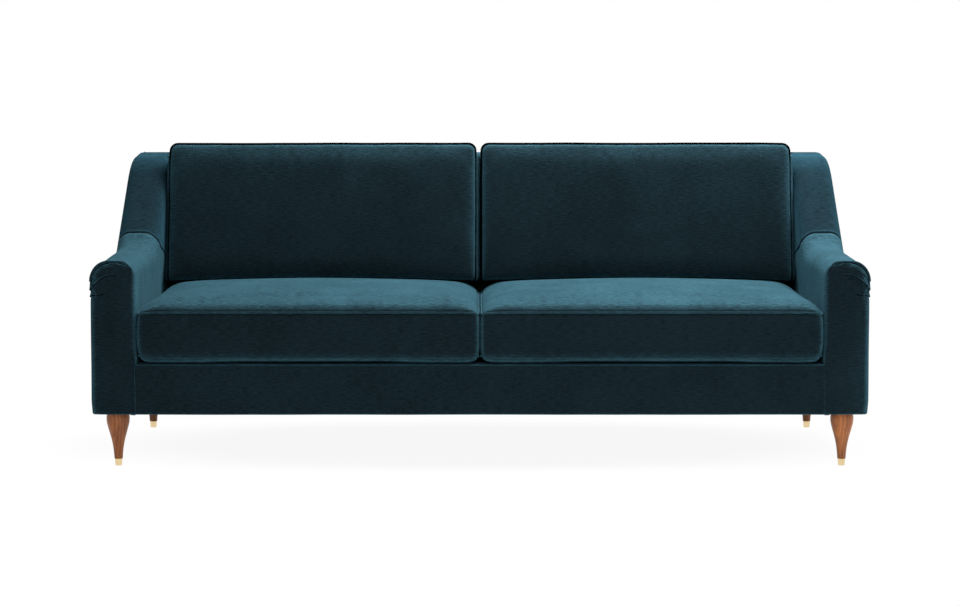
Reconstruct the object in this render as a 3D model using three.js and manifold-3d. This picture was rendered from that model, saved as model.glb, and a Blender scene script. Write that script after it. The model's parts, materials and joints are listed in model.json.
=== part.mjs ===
// A sofa with two seats and sloped arms, taken apart into frame, springs, padding, covers and legs.
// Millimetres, +Z up, front towards -Y. Left is the viewer's left, -X.
import * as THREE from 'three';
import { mergeVertices } from 'three/addons/utils/BufferGeometryUtils.js';
import Module from 'manifold-3d';

const wasm = await Module();
wasm.setup();

// Overall sizes
const sofaWidth = 2188;
const baseDepth = 900; // arm front to the rear of the back, at its bottom
const backLean = 40; // how far the top of the back stands behind its bottom
const legHeight = 152; // floor to the lower edge of the covers
const deckHeight = 294.6; // floor to the top of the seat platform
const backHeight = 867; // floor to the top of the tight back

// Fits
const clearance = 0.3; // between pieces that touch
const overrun = 60; // how far a cutter runs past what it cuts
const weldTolerance = 0.001; // points nearer than this are one

// Arms: level in front, then a sweep up to the back
const armWidth = 125;
const armHeight = 585; // at the front
const armRise = 12; // gained along the level part
const swoopSetback = 50; // end of the sweep to the rear of the base
const swoopRun = 440; // start of the sweep to its end
const armSwoopRadius = 120;
const backSwoopRadius = 218;
const backTopRise = 8; // gained from the end of the sweep to the rear
const armOuterRadius = 65; // across the arm, at the front
const armInnerRadius = 36;
const wingOuterRadius = 26; // across the wing, at the rear
const wingInnerRadius = 14;
const wingTuck = 9; // how far the wing's top leans in
const armFrontRoll = 12; // rounding round the arm's front face
const armSeamRun = 105; // start of the sweep to the seam between arm cover and wing cover

// Tight back, with its covers
const backThickness = 188; // at deck height
const backTopThickness = 85.3;
const backTopRadius = 25;

// Cloth and padding
const clothThickness = 2.5;
const armSidePadding = 10;
const armTopPadding = 30;
const armCornerPadding = 4; // least padding over the corner of the outer board
const armFrontPadding = 12;
const borderPadding = 8;
const insidePadding = 27;
const rearPadding = 5;
const backTopPadding = 10;
const dustCoverThickness = 1.2;
const borderFlap = 70; // top of the border, sewn to the deck cloth
const borderRoll = 6;
const rearPaddingLip = 60;
const deckRearGap = 26.6; // rear edge of the deck to the rear rail

// Wooden frame
const boardThickness = 18;
const railThickness = 25;
const deckThickness = 44.6; // springs and pad, over the seat rails
const postDepth = 75;
const stretcherWidth = 44;
const stretcherDrop = 16.5; // below the rail tops
const cornerBlockLeg = 90;
const cornerBlockHeight = 38;
const cornerBlockLift = 8.5; // above the lower edges of the rails
const topRailHeight = 85;
const lowerRailLift = 6; // above the deck
const lowerRailHeight = 65;
const uprightThickness = 22;
const uprightRim = 32; // wood left round the upright's window
const windowHeight = 205; // windows of the arm boards
const windowRadius = 30;
const windowRib = 52;
const windowSill = 120; // above the board's lower edge

// Sinuous seat springs and their tie wires
const wireDiameter = 4;
const springArch = 14;
const springHalfWidth = 24;
const springMargin = 110; // outer springs to the arm and to the middle
const tieWireDiameter = 3;
const tieWireEnd = 40; // past the outer springs

// Elastic webbing of the back
const webThickness = 2;
const webWidth = 50;
const webMargin = 30; // from the arm frame and from the upright
const webGrip = 40; // overlap on each rail

// Turned legs, brass ferrules and hanger bolts
const legInset = 64; // leg axis from the arm's outer face
const legSetback = 60; // leg axis from the front and from the rear
const legRadius = 33.3;
const ferruleHeight = 20;
const ferruleFootRadius = 9.3;
const ferruleMouthRadius = 10.7;
const ferruleWall = 1.2;
const ferruleFloor = 2;
const ferruleChamfer = 0.8;
const boltRadius = 4;
const boltTip = 10;
const boltInLeg = 28;
const boltInPost = 42;

// Seat cushions
const seatBoxing = 128;
const seatLift = 19.4; // deck to the lower welt
const seatCrown = 45;
const seatSideGap = 3; // to the arm
const seatMiddleGap = 1.5; // between the two
const seatFrontOverhang = 2;
const seatRearGap = 4;
const seatCornerRadius = 22;
const seatDrawIn = 4;
const seatBulge = 2;

// Back cushions
const backBoxing = 142;
const backCushionHeight = 423; // welt to welt, along the lean
const backCushionLift = 50; // upper welt of the seat to the lower front welt
const backCushionTop = 14; // crown of the front panel
const backCushionSeat = 8; // crown of the rear panel, on the tight back
const backSideGap = 20; // to the wing
const backMiddleGap = 26; // between the two
const backCornerRadius = 24;
const backDrawIn = 5;
const backBulge = 7;

// Cushion covers and cores
const weltSize = 2.5;
const wrapThickness = 14; // wadding and velvet round the foam
const zipLength = 560;
const zipSlot = 6;

// How finely curves are drawn
const fineArc = 5;
const coarseArc = 3;
const sweepSteps = 5;
const rollSteps = 2;
const cushionSideSteps = 6;
const legSegments = 18;
const boltSegments = 8;
const springCount = 4; // on each half
const springBends = 18;
const archSteps = 8;
const tieWireCount = 2;
const wireSides = 4;
const windowCount = 3;
const webUprights = 5;
const webCrossings = 2;

// Shares: the outline of a turned leg as (share of its height, share of its radius)
const legProfileShares = [
  [0, 0.355], [0.14, 0.39], [0.3, 0.475], [0.43, 0.58], [0.57, 0.735],
  [0.7, 0.885], [0.79, 0.968], [0.87, 1], [0.94, 0.98], [1, 0.93],
];
const crownRingShares = [0.3, 0.62, 0.82, 0.94];
const crownPowerShare = 4;
const coreCrownShare = 0.7;
const swoopFitShare = 0.95;
const spigotShare = 0.8; // of the ferrule's inside depth
const boltPointShare = 0.25; // of the bolt's radius
const bendShares = [0.2, 0.8]; // where a bend of a spring starts and ends
const mitreShare = 0.5; // least share of a wire's width left at a corner

// Places worked out from the sizes above
const armOuterX = sofaWidth / 2;
const armInnerX = armOuterX - armWidth;
const overallDepth = baseDepth + backLean;
const insideBackFoot = baseDepth - backThickness; // from the arm front, at deck height
const insideBackRun = overallDepth - backTopThickness - insideBackFoot;
const insideBackRake = Math.atan2(insideBackRun, backHeight - deckHeight);
const swoopEnd = baseDepth - swoopSetback;
const swoopStart = swoopEnd - swoopRun;
const armSeam = swoopStart + armSeamRun;
const railTop = deckHeight - deckThickness;
const seatWeltHeight = deckHeight + seatLift;
const backCushionFoot = seatWeltHeight + seatBoxing + backCushionLift;
const armTopInset = clothThickness + armTopPadding + 2 * clearance;
const cornerReach = armOuterRadius - clothThickness - armCornerPadding - 2 * clearance;
const cornerDrop = Math.max(armOuterRadius - armTopInset, 0);
const armFrameInset = Math.max(
  clothThickness + armSidePadding + 2 * clearance,
  armOuterRadius - Math.sqrt(Math.max(cornerReach ** 2 - cornerDrop ** 2, 0)));
const armFrameInnerX = armInnerX + armFrameInset;
const armFrameOuterX = armOuterX - armFrameInset;
const tuckFoot = armHeight - armOuterRadius - 2 * armFrontRoll; // the outer face leans in above it
const armFrontInset = clothThickness + armFrontPadding + 2 * clearance;
const crossRailX = armFrameInnerX - clearance;
const frameBottom = legHeight + dustCoverThickness + clearance;
const frontRailFace = clothThickness + borderPadding + 2 * clearance;
const rearFrameInset = clothThickness + rearPadding + 2 * clearance;
const frameTop = backHeight - clothThickness - backTopPadding - 2 * clearance;
const webInset = clothThickness + insidePadding + 2 * clearance;
const insideFrameInset = webInset + webThickness + clearance;
const rearRailRear = baseDepth - rearFrameInset;
const legX = armOuterX - legInset;
const rearLegY = baseDepth - legSetback;
const railGapFront = frontRailFace + railThickness + clearance;
const railGapRear = rearRailRear - railThickness - clearance;
const deckRearEdge = railGapRear - deckRearGap;
const springFront = frontRailFace + railThickness / 2;
const springRear = rearRailRear - railThickness / 2;
const springPitch = (springRear - springFront) / springBends;
const springAxisHeight = railTop + clearance + wireDiameter / 2;
const lowerRailLow = deckHeight + lowerRailLift;
const lowerRailHigh = lowerRailLow + lowerRailHeight;
const trimX = armInnerX - clearance; // what lies between the arms ends here
const backFoot = deckHeight + clearance;
const deckPadTop = deckHeight - clothThickness - clearance;

// Shapes

function positionsOf(points) {
  return new THREE.Float32BufferAttribute(points.flatMap((p) => [p.x, p.y, p.z]), 3);
}

function geometryFrom(points, triangles) {
  const geometry = new THREE.BufferGeometry();
  geometry.setAttribute('position', positionsOf(points));
  geometry.setIndex(triangles.flat());
  return geometry;
}

// Only positions are kept, and points that fall together become one.
function welded(geometry) {
  const bare = geometry.clone();
  for (const name of Object.keys(bare.attributes)) {
    if (name !== 'position') bare.deleteAttribute(name);
  }
  return mergeVertices(bare, weldTolerance);
}

function trianglesOf(geometry) {
  const index = geometry.index.array;
  const triangles = [];
  for (let i = 0; i < index.length; i += 3) {
    const [a, b, c] = [index[i], index[i + 1], index[i + 2]];
    if (a !== b && b !== c && c !== a) triangles.push([a, b, c]);
  }
  return triangles;
}

function signedVolume(geometry, triangles) {
  const at = (i) => new THREE.Vector3().fromBufferAttribute(geometry.attributes.position, i);
  let volume = 0;
  for (const [a, b, c] of triangles) volume += at(a).dot(at(b).cross(at(c)));
  return volume / 6;
}

// A solid whose faces point outwards, whichever way its outline was drawn.
function solidOf(geometry) {
  const shape = welded(geometry);
  let triangles = trianglesOf(shape);
  if (signedVolume(shape, triangles) < 0) triangles = triangles.map(([a, b, c]) => [a, c, b]);
  const vertProperties = new Float32Array(shape.attributes.position.array);
  const triVerts = new Uint32Array(triangles.flat());
  return new wasm.Manifold(new wasm.Mesh({ numProp: 3, vertProperties, triVerts }));
}

function geometryOf(solid) {
  const mesh = solid.getMesh();
  const geometry = new THREE.BufferGeometry();
  geometry.setAttribute('position', new THREE.Float32BufferAttribute(mesh.vertProperties, 3));
  geometry.setIndex([...mesh.triVerts]);
  geometry.computeVertexNormals();
  return geometry;
}

function mirrored(solid) {
  const geometry = geometryOf(solid);
  geometry.scale(-1, 1, 1);
  return solidOf(geometry);
}

function outlineShape(points, holes = []) {
  const shape = new THREE.Shape(points.map(([a, b]) => new THREE.Vector2(a, b)));
  for (const hole of holes) shape.holes.push(hole);
  return shape;
}

function extruded(shape, depth) {
  return new THREE.ExtrudeGeometry(shape, { depth, bevelEnabled: false, curveSegments: coarseArc });
}

// An outline in Y and Z, extruded along X.
function prismX(points, x0, x1, holes) {
  const geometry = extruded(outlineShape(points, holes), x1 - x0);
  const turn = new THREE.Matrix4().makeBasis(
    new THREE.Vector3(0, 1, 0), new THREE.Vector3(0, 0, 1), new THREE.Vector3(1, 0, 0));
  geometry.applyMatrix4(turn.setPosition(x0, 0, 0));
  return solidOf(geometry);
}

// An outline in X and Y, extruded along Z.
function prismZ(points, z0, z1, holes) {
  const geometry = extruded(outlineShape(points, holes), z1 - z0);
  geometry.translate(0, 0, z0);
  return solidOf(geometry);
}

function block(x0, x1, y0, y1, z0, z1) {
  const geometry = new THREE.BoxGeometry(x1 - x0, y1 - y0, z1 - z0);
  geometry.translate((x0 + x1) / 2, (y0 + y1) / 2, (z0 + z1) / 2);
  return solidOf(geometry);
}

function rod(x, y, z0, z1, radius) {
  const geometry = new THREE.CylinderGeometry(radius, radius, z1 - z0, boltSegments);
  geometry.rotateX(Math.PI / 2);
  geometry.translate(x, y, (z0 + z1) / 2);
  return solidOf(geometry);
}

// A hole with rounded corners.
function windowPath(centreX, centreY, width, height, radius) {
  const r = Math.min(radius, width / 2, height / 2);
  const points = [];
  for (const [cornerX, cornerY, start] of [[1, -1, 3], [1, 1, 0], [-1, 1, 1], [-1, -1, 2]]) {
    for (let i = 0; i <= coarseArc; i += 1) {
      const angle = (Math.PI / 2) * (start + i / coarseArc);
      points.push(new THREE.Vector2(
        centreX + cornerX * (width / 2 - r) + r * Math.cos(angle),
        centreY + cornerY * (height / 2 - r) + r * Math.sin(angle)));
    }
  }
  return new THREE.Path(points);
}

// Skins a row of rings that have the same number of points, and closes both ends with a fan.
function loft(rings) {
  const points = rings.flat();
  const count = rings[0].length;
  const triangles = [];
  for (let r = 0; r + 1 < rings.length; r += 1) {
    for (let i = 0; i < count; i += 1) {
      const j = (i + 1) % count;
      const [a, b] = [r * count + i, r * count + j];
      const [c, d] = [a + count, b + count];
      triangles.push([a, b, d], [a, d, c]);
    }
  }
  const addFan = (ring, start, flip) => {
    const centre = new THREE.Vector3();
    for (const p of ring) centre.add(p);
    points.push(centre.divideScalar(count));
    for (let i = 0; i < count; i += 1) {
      const [a, b] = [start + i, start + ((i + 1) % count)];
      triangles.push(flip ? [points.length - 1, b, a] : [points.length - 1, a, b]);
    }
  };
  addFan(rings[0], 0, true);
  addFan(rings.at(-1), (rings.length - 1) * count, false);
  return solidOf(geometryFrom(points, triangles));
}

// Planes of the back

function rearY(z) {
  return baseDepth + (backLean * (z - legHeight)) / (backHeight - legHeight);
}

// Y of the inside back at a height, on a plane that lies an inset behind its cover.
function insideY(z, inset) {
  return insideBackFoot + (z - deckHeight) * Math.tan(insideBackRake) + inset / Math.cos(insideBackRake);
}

function bodyEnvelope(rearInset) {
  const [low, high] = [legHeight - overrun, backHeight + overrun];
  const outline = [
    [-overrun, low], [rearY(low) - rearInset, low],
    [rearY(high) - rearInset, high], [-overrun, high],
  ];
  return prismX(outline, -armOuterX - overrun, armOuterX + overrun);
}

// Arms

// Line of the arm's crown from front to rear: place and heading at each station.
function crownStations() {
  const [z0, z1] = [armHeight + armRise, backHeight - backTopRise];
  const run = swoopEnd - swoopStart;
  const climb = z1 - z0;
  const radiusLimit = (swoopFitShare * (run * run + climb * climb)) / (2 * Math.abs(climb));
  const fit = Math.min(1, radiusLimit / (armSwoopRadius + backSwoopRadius));
  const [lower, upper] = [armSwoopRadius * fit, backSwoopRadius * fit];
  const rise = climb - lower - upper;
  const slope = Math.atan2(rise, run) + Math.asin((lower + upper) / Math.hypot(run, rise));
  const stations = [{ y: 0, z: armHeight, heading: 0 }];
  for (let i = 0; i <= sweepSteps; i += 1) {
    const heading = (slope * i) / sweepSteps;
    const y = swoopStart + lower * Math.sin(heading);
    stations.push({ y, z: z0 + lower * (1 - Math.cos(heading)), heading });
  }
  for (let i = sweepSteps; i >= 0; i -= 1) {
    const heading = (slope * i) / sweepSteps;
    const y = swoopEnd - upper * Math.sin(heading);
    stations.push({ y, z: z1 - upper * (1 - Math.cos(heading)), heading });
  }
  const tail = Math.max(overallDepth, swoopEnd) + overrun;
  const tailRise = (backTopRise * (tail - swoopEnd)) / Math.max(overallDepth - swoopEnd, overrun);
  stations.push({ y: tail, z: z1 + tailRise, heading: 0 });
  return stations;
}

function insetStations(inset) {
  return crownStations().map(({ y, z, heading }) => ({
    y: y + inset * Math.sin(heading),
    z: z - inset * Math.cos(heading),
  }));
}

// Height of the crown, an inset below the cover, at a distance from the arm front.
function crownHeight(y, inset) {
  const line = insetStations(inset);
  const next = Math.max(1, line.findIndex((p) => p.y >= y));
  const [a, b] = [line[next - 1], line[next]];
  return a.z + ((b.z - a.z) * (y - a.y)) / (b.y - a.y);
}

// How far the outer face stands in at a height: it is plumb up to the arm, then leans in.
function tuckAt(z) {
  return (wingTuck * Math.max(z - tuckFoot, 0)) / (backHeight - tuckFoot);
}

function blendAlongArm(y, front, rear) {
  const share = THREE.MathUtils.clamp((y - swoopStart) / (swoopEnd - swoopStart), 0, 1);
  return front + (rear - front) * share;
}

// Section across the right arm: inner foot, outer foot, outer side, outer round, inner round.
function armSection(y, top, insets, foot, arcSteps) {
  const outerX = armOuterX - insets.side;
  const innerX = armInnerX + insets.inner;
  const width = outerX - wingTuck - innerX;
  const rounding = (atFront, atRear, inset) =>
    Math.max(blendAlongArm(y, atFront, atRear) - inset, clothThickness);
  const outerWanted = rounding(armOuterRadius, wingOuterRadius, insets.side);
  const innerWanted = rounding(armInnerRadius, wingInnerRadius, insets.inner);
  const fit = Math.min(1, width / (outerWanted + innerWanted));
  const [outer, inner] = [outerWanted * fit, innerWanted * fit];
  const outerTopX = outerX - tuckAt(top - outer);
  const ring = [
    new THREE.Vector3(innerX, y, foot), new THREE.Vector3(outerX, y, foot),
    new THREE.Vector3(outerX, y, tuckFoot),
  ];
  for (let i = 0; i <= arcSteps; i += 1) {
    const angle = (Math.PI / 2) * (i / arcSteps);
    ring.push(new THREE.Vector3(
      outerTopX - outer + outer * Math.cos(angle), y, top - outer + outer * Math.sin(angle)));
  }
  for (let i = 0; i <= arcSteps; i += 1) {
    const angle = (Math.PI / 2) * (1 + i / arcSteps);
    ring.push(new THREE.Vector3(
      innerX + inner + inner * Math.cos(angle), y, top - inner + inner * Math.sin(angle)));
  }
  return ring;
}

// The whole right arm and wing, an inset inside its cover, down to a foot height.
function armForm(inset, foot, arcSteps) {
  const roll = Math.max(armFrontRoll - inset, clothThickness / 2);
  const front = inset;
  const rings = [];
  for (let i = 0; i < rollSteps; i += 1) {
    const angle = (Math.PI / 2) * (i / rollSteps);
    const y = front + roll * (1 - Math.cos(angle));
    const squeeze = roll * (1 - Math.sin(angle));
    const insets = { side: inset + squeeze, inner: inset + squeeze / 2 };
    rings.push(armSection(y, crownHeight(y, inset) - squeeze, insets, foot, arcSteps));
  }
  const insets = { side: inset, inner: inset };
  rings.push(armSection(front + roll, crownHeight(front + roll, inset), insets, foot, arcSteps));
  for (const station of insetStations(inset).slice(1)) {
    rings.push(armSection(station.y, station.z, insets, foot, arcSteps));
  }
  return loft(rings);
}

// Side view of the arm frame, grown by a margin.
function armFrameOutline(grow) {
  const front = armFrontInset - grow;
  const line = insetStations(armTopInset - grow).filter((p) => p.y > front + armTopInset);
  const foot = frameBottom - grow;
  const top = line.map((p) => [p.y, p.z]);
  const frontTop = [front, crownHeight(front, armTopInset - grow)];
  return [[front, foot], frontTop, ...top, [line.at(-1).y, foot]];
}

function armFrameSlab(x0, x1, grow, holes) {
  const slab = prismX(armFrameOutline(grow), x0, x1, holes);
  return slab.intersect(bodyEnvelope(rearFrameInset - grow));
}

// What the cross rails fill between the two arms, grown by a margin.
function crossFrameSpace(grow) {
  const low = frameBottom - overrun;
  const seat = railTop + grow;
  const top = frameTop + grow;
  const outline = [
    [frontRailFace - grow, low], [frontRailFace - grow, seat],
    [insideY(seat, insideFrameInset - grow), seat], [insideY(top, insideFrameInset - grow), top],
    [overallDepth + overrun, top], [overallDepth + overrun, low],
  ];
  return prismX(outline, 0, armFrameInnerX + boardThickness / 2);
}

function windowHoles() {
  const start = armFrontInset + postDepth;
  const end = rearRailRear - postDepth;
  const width = (end - start - windowRib * (windowCount + 1)) / windowCount;
  const centreZ = frameBottom + windowSill + windowHeight / 2;
  const holes = [];
  for (let i = 0; i < windowCount; i += 1) {
    const centreY = start + windowRib + width / 2 + i * (width + windowRib);
    holes.push(windowPath(centreY, centreZ, width, windowHeight, windowRadius));
  }
  return holes;
}

function armBoards() {
  const outer = armFrameSlab(armFrameOuterX - boardThickness, armFrameOuterX, 0, windowHoles());
  const inner = armFrameSlab(armFrameInnerX, armFrameInnerX + boardThickness, 0, windowHoles());
  return { outer, inner };
}

function postBetweenBoards(outline, boltY) {
  const x0 = armFrameInnerX + boardThickness + clearance;
  const x1 = armFrameOuterX - boardThickness - clearance;
  const room = armFrameSlab(x0, x1, 0);
  const boreTop = legHeight + boltInPost + clearance;
  const bore = rod(legX, boltY, frameBottom - overrun, boreTop, boltRadius + clearance);
  return prismX(outline, x0, x1).intersect(room).subtract(bore);
}

function armFrontPost() {
  const [y0, y1] = [armFrontInset, armFrontInset + postDepth];
  const high = backHeight;
  const outline = [[y0, frameBottom], [y1, frameBottom], [y1, high], [y0, high]];
  return postBetweenBoards(outline, legSetback);
}

function backPost() {
  const rear = (z) => rearY(z) - rearFrameInset;
  const outline = [
    [rear(frameBottom) - postDepth, frameBottom], [rear(frameBottom), frameBottom],
    [rear(backHeight), backHeight], [rear(backHeight) - postDepth, backHeight],
  ];
  return postBetweenBoards(outline, rearLegY);
}

function armPadding() {
  const inset = clothThickness + clearance;
  return armForm(inset, frameBottom, coarseArc)
    .intersect(bodyEnvelope(inset))
    .subtract(armFrameSlab(armFrameInnerX - clearance, armFrameOuterX + clearance, clearance))
    .subtract(block(armFrameInnerX, armFrameOuterX, armFrontInset, rearRailRear,
      frameBottom - overrun, frameBottom + overrun))
    .subtract(crossFrameSpace(clearance));
}

function armSkin() {
  return armForm(0, legHeight, fineArc)
    .intersect(bodyEnvelope(clothThickness + clearance))
    .subtract(armForm(clothThickness, legHeight - overrun, coarseArc))
    .subtract(crossFrameSpace(clearance));
}

function armCovers() {
  const skin = armSkin();
  const [x0, x1] = [0, armOuterX + overrun];
  const [z0, z1] = [legHeight - overrun, backHeight + overrun];
  const front = block(x0, x1, -overrun, armSeam - clearance / 2, z0, z1);
  const rear = block(x0, x1, armSeam + clearance / 2, overallDepth + overrun, z0, z1);
  return { arm: skin.intersect(front), wing: skin.intersect(rear) };
}

// Seat frame

function crossSeatRail(face) {
  return block(-crossRailX, crossRailX, face, face + railThickness, frameBottom, railTop);
}

function sideSeatRail() {
  return block(crossRailX - railThickness, crossRailX, railGapFront, railGapRear, frameBottom, railTop);
}

function centreStretcher() {
  const half = stretcherWidth / 2;
  return block(-half, half, railGapFront, railGapRear, frameBottom, railTop - stretcherDrop);
}

// A three-cornered block in the right-hand corner of the seat frame, in front or at the rear.
function cornerBlock(atRear) {
  const x = crossRailX - railThickness - clearance;
  const [y, step] = atRear ? [railGapRear - clearance, -1] : [railGapFront + clearance, 1];
  const outline = [[x, y], [x - cornerBlockLeg, y], [x, y + step * cornerBlockLeg]];
  const low = frameBottom + cornerBlockLift;
  return prismZ(outline, low, low + cornerBlockHeight);
}

// Back frame

function topBackRail() {
  const low = frameTop - topRailHeight;
  const outline = [
    [insideY(low, insideFrameInset), low], [rearY(low) - rearFrameInset, low],
    [rearY(frameTop) - rearFrameInset, frameTop], [insideY(frameTop, insideFrameInset), frameTop],
  ];
  return prismX(outline, -crossRailX, crossRailX);
}

function lowerBackRail() {
  const [front, rear] = [insideFrameInset, insideFrameInset + railThickness];
  const corner = (z, inset) => [insideY(z, inset), z];
  const outline = [
    corner(lowerRailLow, front), corner(lowerRailLow, rear),
    corner(lowerRailHigh, rear), corner(lowerRailHigh, front),
  ];
  return prismX(outline, -crossRailX, crossRailX);
}

// The upright stands on the rear seat rail, steps over the lower rail and ends under the top rail.
function backCentreUpright() {
  const foot = railTop + clearance;
  const top = frameTop - topRailHeight - clearance;
  const behindRail = insideFrameInset + railThickness + clearance;
  const step = lowerRailHigh + clearance;
  const rear = (z) => rearY(z) - rearFrameInset;
  const footRear = Math.min(rearRailRear, rear(foot));
  const outline = [
    [rearRailRear - railThickness, foot], [footRear, foot], [rear(top), top],
    [insideY(top, insideFrameInset), top], [insideY(step, insideFrameInset), step],
    [insideY(step, behindRail), step], [insideY(lowerRailLow, behindRail), lowerRailLow],
    [rearRailRear - railThickness, lowerRailLow],
  ];
  const [low, high] = [step + uprightRim, top - uprightRim];
  const hole = new THREE.Path([
    new THREE.Vector2(insideY(low, insideFrameInset) + uprightRim, low),
    new THREE.Vector2(rear(low) - uprightRim, low),
    new THREE.Vector2(rear(low) - uprightRim, (low + high) / 2),
  ]);
  return prismX(outline, -uprightThickness / 2, uprightThickness / 2, [hole]);
}

// Seat springs

// How far the springs rise at a distance from the arm front.
function archAt(y) {
  const share = THREE.MathUtils.clamp((y - springFront) / (springRear - springFront), 0, 1);
  return springArch * Math.sin(Math.PI * share);
}

// A tube of a few sides along points that lie nearly level.
function wireAlong(points, diameter) {
  const rings = points.map((point, i) => {
    const before = points[Math.max(i - 1, 0)];
    const after = points[Math.min(i + 1, points.length - 1)];
    const ahead = after.clone().sub(before).setZ(0).normalize();
    const into = point.clone().sub(before).setZ(0).normalize();
    const mitre = i > 0 ? 1 / Math.max(Math.abs(ahead.dot(into)), mitreShare) : 1;
    const across = new THREE.Vector3(ahead.y, -ahead.x, 0);
    const ring = [];
    for (let k = 0; k < wireSides; k += 1) {
      const angle = (Math.PI * 2 * (k + 0.5)) / wireSides;
      const offset = across.clone().multiplyScalar((Math.cos(angle) * diameter * mitre) / 2);
      ring.push(point.clone().add(offset).setZ(point.z + (Math.sin(angle) * diameter) / 2));
    }
    return ring;
  });
  return loft(rings);
}

function sinuousSpring(x) {
  const points = [];
  for (let i = 0; i < springBends; i += 1) {
    const side = i % 2 === 0 ? 1 : -1;
    for (const share of bendShares) {
      const y = springFront + springPitch * (i + share);
      points.push(new THREE.Vector3(x + side * springHalfWidth, y, springAxisHeight + archAt(y)));
    }
  }
  return wireAlong(points, wireDiameter);
}

function springPlaces() {
  const first = springMargin;
  const last = armInnerX - springMargin;
  const places = [];
  for (let i = 0; i < springCount; i += 1) {
    places.push(first + ((last - first) * i) / (springCount - 1));
  }
  return places;
}

function seatSprings() {
  const places = springPlaces();
  const reach = springHalfWidth + tieWireEnd;
  let unit = sinuousSpring(places[0]);
  for (const x of places.slice(1)) unit = unit.add(sinuousSpring(x));
  for (let i = 1; i <= tieWireCount; i += 1) {
    const bend = Math.round((springBends * i) / (tieWireCount + 1));
    const y = springFront + springPitch * (bend + 0.5);
    const z = springAxisHeight + archAt(y);
    const ends = [places[0] - reach, places.at(-1) + reach];
    unit = unit.add(wireAlong(ends.map((x) => new THREE.Vector3(x, y, z)), tieWireDiameter));
  }
  return unit;
}

// Back webbing: straps up and across, woven into one net, flat in its own plane.
function backWebbing() {
  const low = lowerRailHigh - webGrip;
  const high = frameTop - topRailHeight + webGrip;
  const height = (high - low) / Math.cos(insideBackRake);
  const width = crossRailX - 2 * webMargin - uprightThickness / 2;
  const pitchX = (width - webWidth) / (webUprights - 1);
  const pitchY = height / (webCrossings + 1);
  const straps = [];
  for (let i = 0; i < webUprights; i += 1) {
    const x = -width / 2 + pitchX * i;
    straps.push(block(x, x + webWidth, 0, height, 0, webThickness));
  }
  for (let j = 1; j <= webCrossings; j += 1) {
    const y = pitchY * j;
    straps.push(block(-width / 2, width / 2, y - webWidth / 2, y + webWidth / 2, 0, webThickness));
  }
  const net = straps.reduce((joined, strap) => joined.add(strap));
  const place = {
    x: uprightThickness / 2 + webMargin + width / 2,
    y: insideY(low, webInset + webThickness),
    z: low,
  };
  return { net, place };
}

// Padding and covers of seat and back

// Side view of the inside back from its foot over its top, an inset under the cover's face.
function insideBackPath(inset, foot) {
  const centreZ = backHeight - backTopRadius;
  const centreY = insideY(centreZ, backTopRadius);
  const radius = backTopRadius - inset;
  const points = [[insideY(foot, inset), foot]];
  for (let i = 0; i <= fineArc; i += 1) {
    const angle = Math.PI - insideBackRake + ((insideBackRake - Math.PI / 2) * i) / fineArc;
    points.push([centreY + radius * Math.cos(angle), centreZ + radius * Math.sin(angle)]);
  }
  points.push([overallDepth + overrun, backHeight - inset]);
  return points;
}

function insideBackCover() {
  const outer = insideBackPath(0, backFoot);
  const inner = insideBackPath(clothThickness, backFoot).reverse();
  return prismX([...outer, ...inner], -trimX, trimX)
    .intersect(bodyEnvelope(clothThickness + clearance));
}

function backPaddingPiece() {
  const inset = clothThickness + clearance;
  const under = inset + insidePadding;
  const top = frameTop + clearance;
  const lip = frameTop - rearPaddingLip;
  const rearFace = rearFrameInset - clearance;
  const outline = [
    ...insideBackPath(inset, backFoot),
    [overallDepth + overrun, lip], [rearY(lip) - rearFace, lip],
    [rearY(top) - rearFace, top], [insideY(top, under), top], [insideY(backFoot, under), backFoot],
  ];
  return prismX(outline, -trimX, trimX).intersect(bodyEnvelope(inset));
}

function outsideBackCover() {
  const top = crownHeight(overallDepth, 0);
  const ring = armSection(overallDepth, top, { side: 0, inner: 0 }, legHeight, fineArc);
  const corner = ring.slice(1, 3 + fineArc + 1).map((p) => [p.x, p.z]);
  const outline = [...corner, ...corner.map(([x, z]) => [-x, z]).reverse()];
  const geometry = extruded(outlineShape(outline), clothThickness);
  const lean = backLean / (backHeight - legHeight);
  const place = new THREE.Matrix4().set(
    1, 0, 0, 0,
    0, lean, -1, baseDepth - lean * legHeight,
    0, 1, 0, 0,
    0, 0, 0, 1,
  );
  geometry.applyMatrix4(place);
  return solidOf(geometry);
}

function frontBorderCover() {
  const inner = borderRoll - clothThickness;
  const corner = (radius, i) => {
    const angle = Math.PI - ((Math.PI / 2) * i) / coarseArc;
    return [borderRoll + radius * Math.cos(angle), deckHeight - borderRoll + radius * Math.sin(angle)];
  };
  const steps = [...Array(coarseArc + 1).keys()];
  const outline = [
    [0, legHeight], ...steps.map((i) => corner(borderRoll, i)), [borderFlap, deckHeight],
    [borderFlap, deckHeight - clothThickness], ...steps.map((i) => corner(inner, i)).reverse(),
    [clothThickness, legHeight],
  ];
  return prismX(outline, -trimX, trimX);
}

function frontBorderPadding() {
  const face = clothThickness + clearance;
  const soft = borderRoll - face;
  const outline = [
    [face, frameBottom], [face, deckPadTop - soft], [face + soft, deckPadTop],
    [frontRailFace - clearance, deckPadTop], [frontRailFace - clearance, frameBottom],
  ];
  return prismX(outline, -trimX, trimX);
}

function deckPad() {
  const low = (y) => railTop + wireDiameter + 2 * clearance + archAt(y);
  const outline = [[frontRailFace, deckPadTop], [frontRailFace, low(frontRailFace)]];
  for (let i = 0; i <= archSteps; i += 1) {
    const y = springFront + ((deckRearEdge - springFront) * i) / archSteps;
    outline.push([y, low(y)]);
  }
  outline.push([deckRearEdge, deckPadTop]);
  return prismX(outline, -trimX, trimX);
}

function deckCover() {
  const [low, front] = [deckHeight - clothThickness, borderFlap + clearance];
  return block(-trimX, trimX, front, deckRearEdge, low, deckHeight);
}

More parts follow.
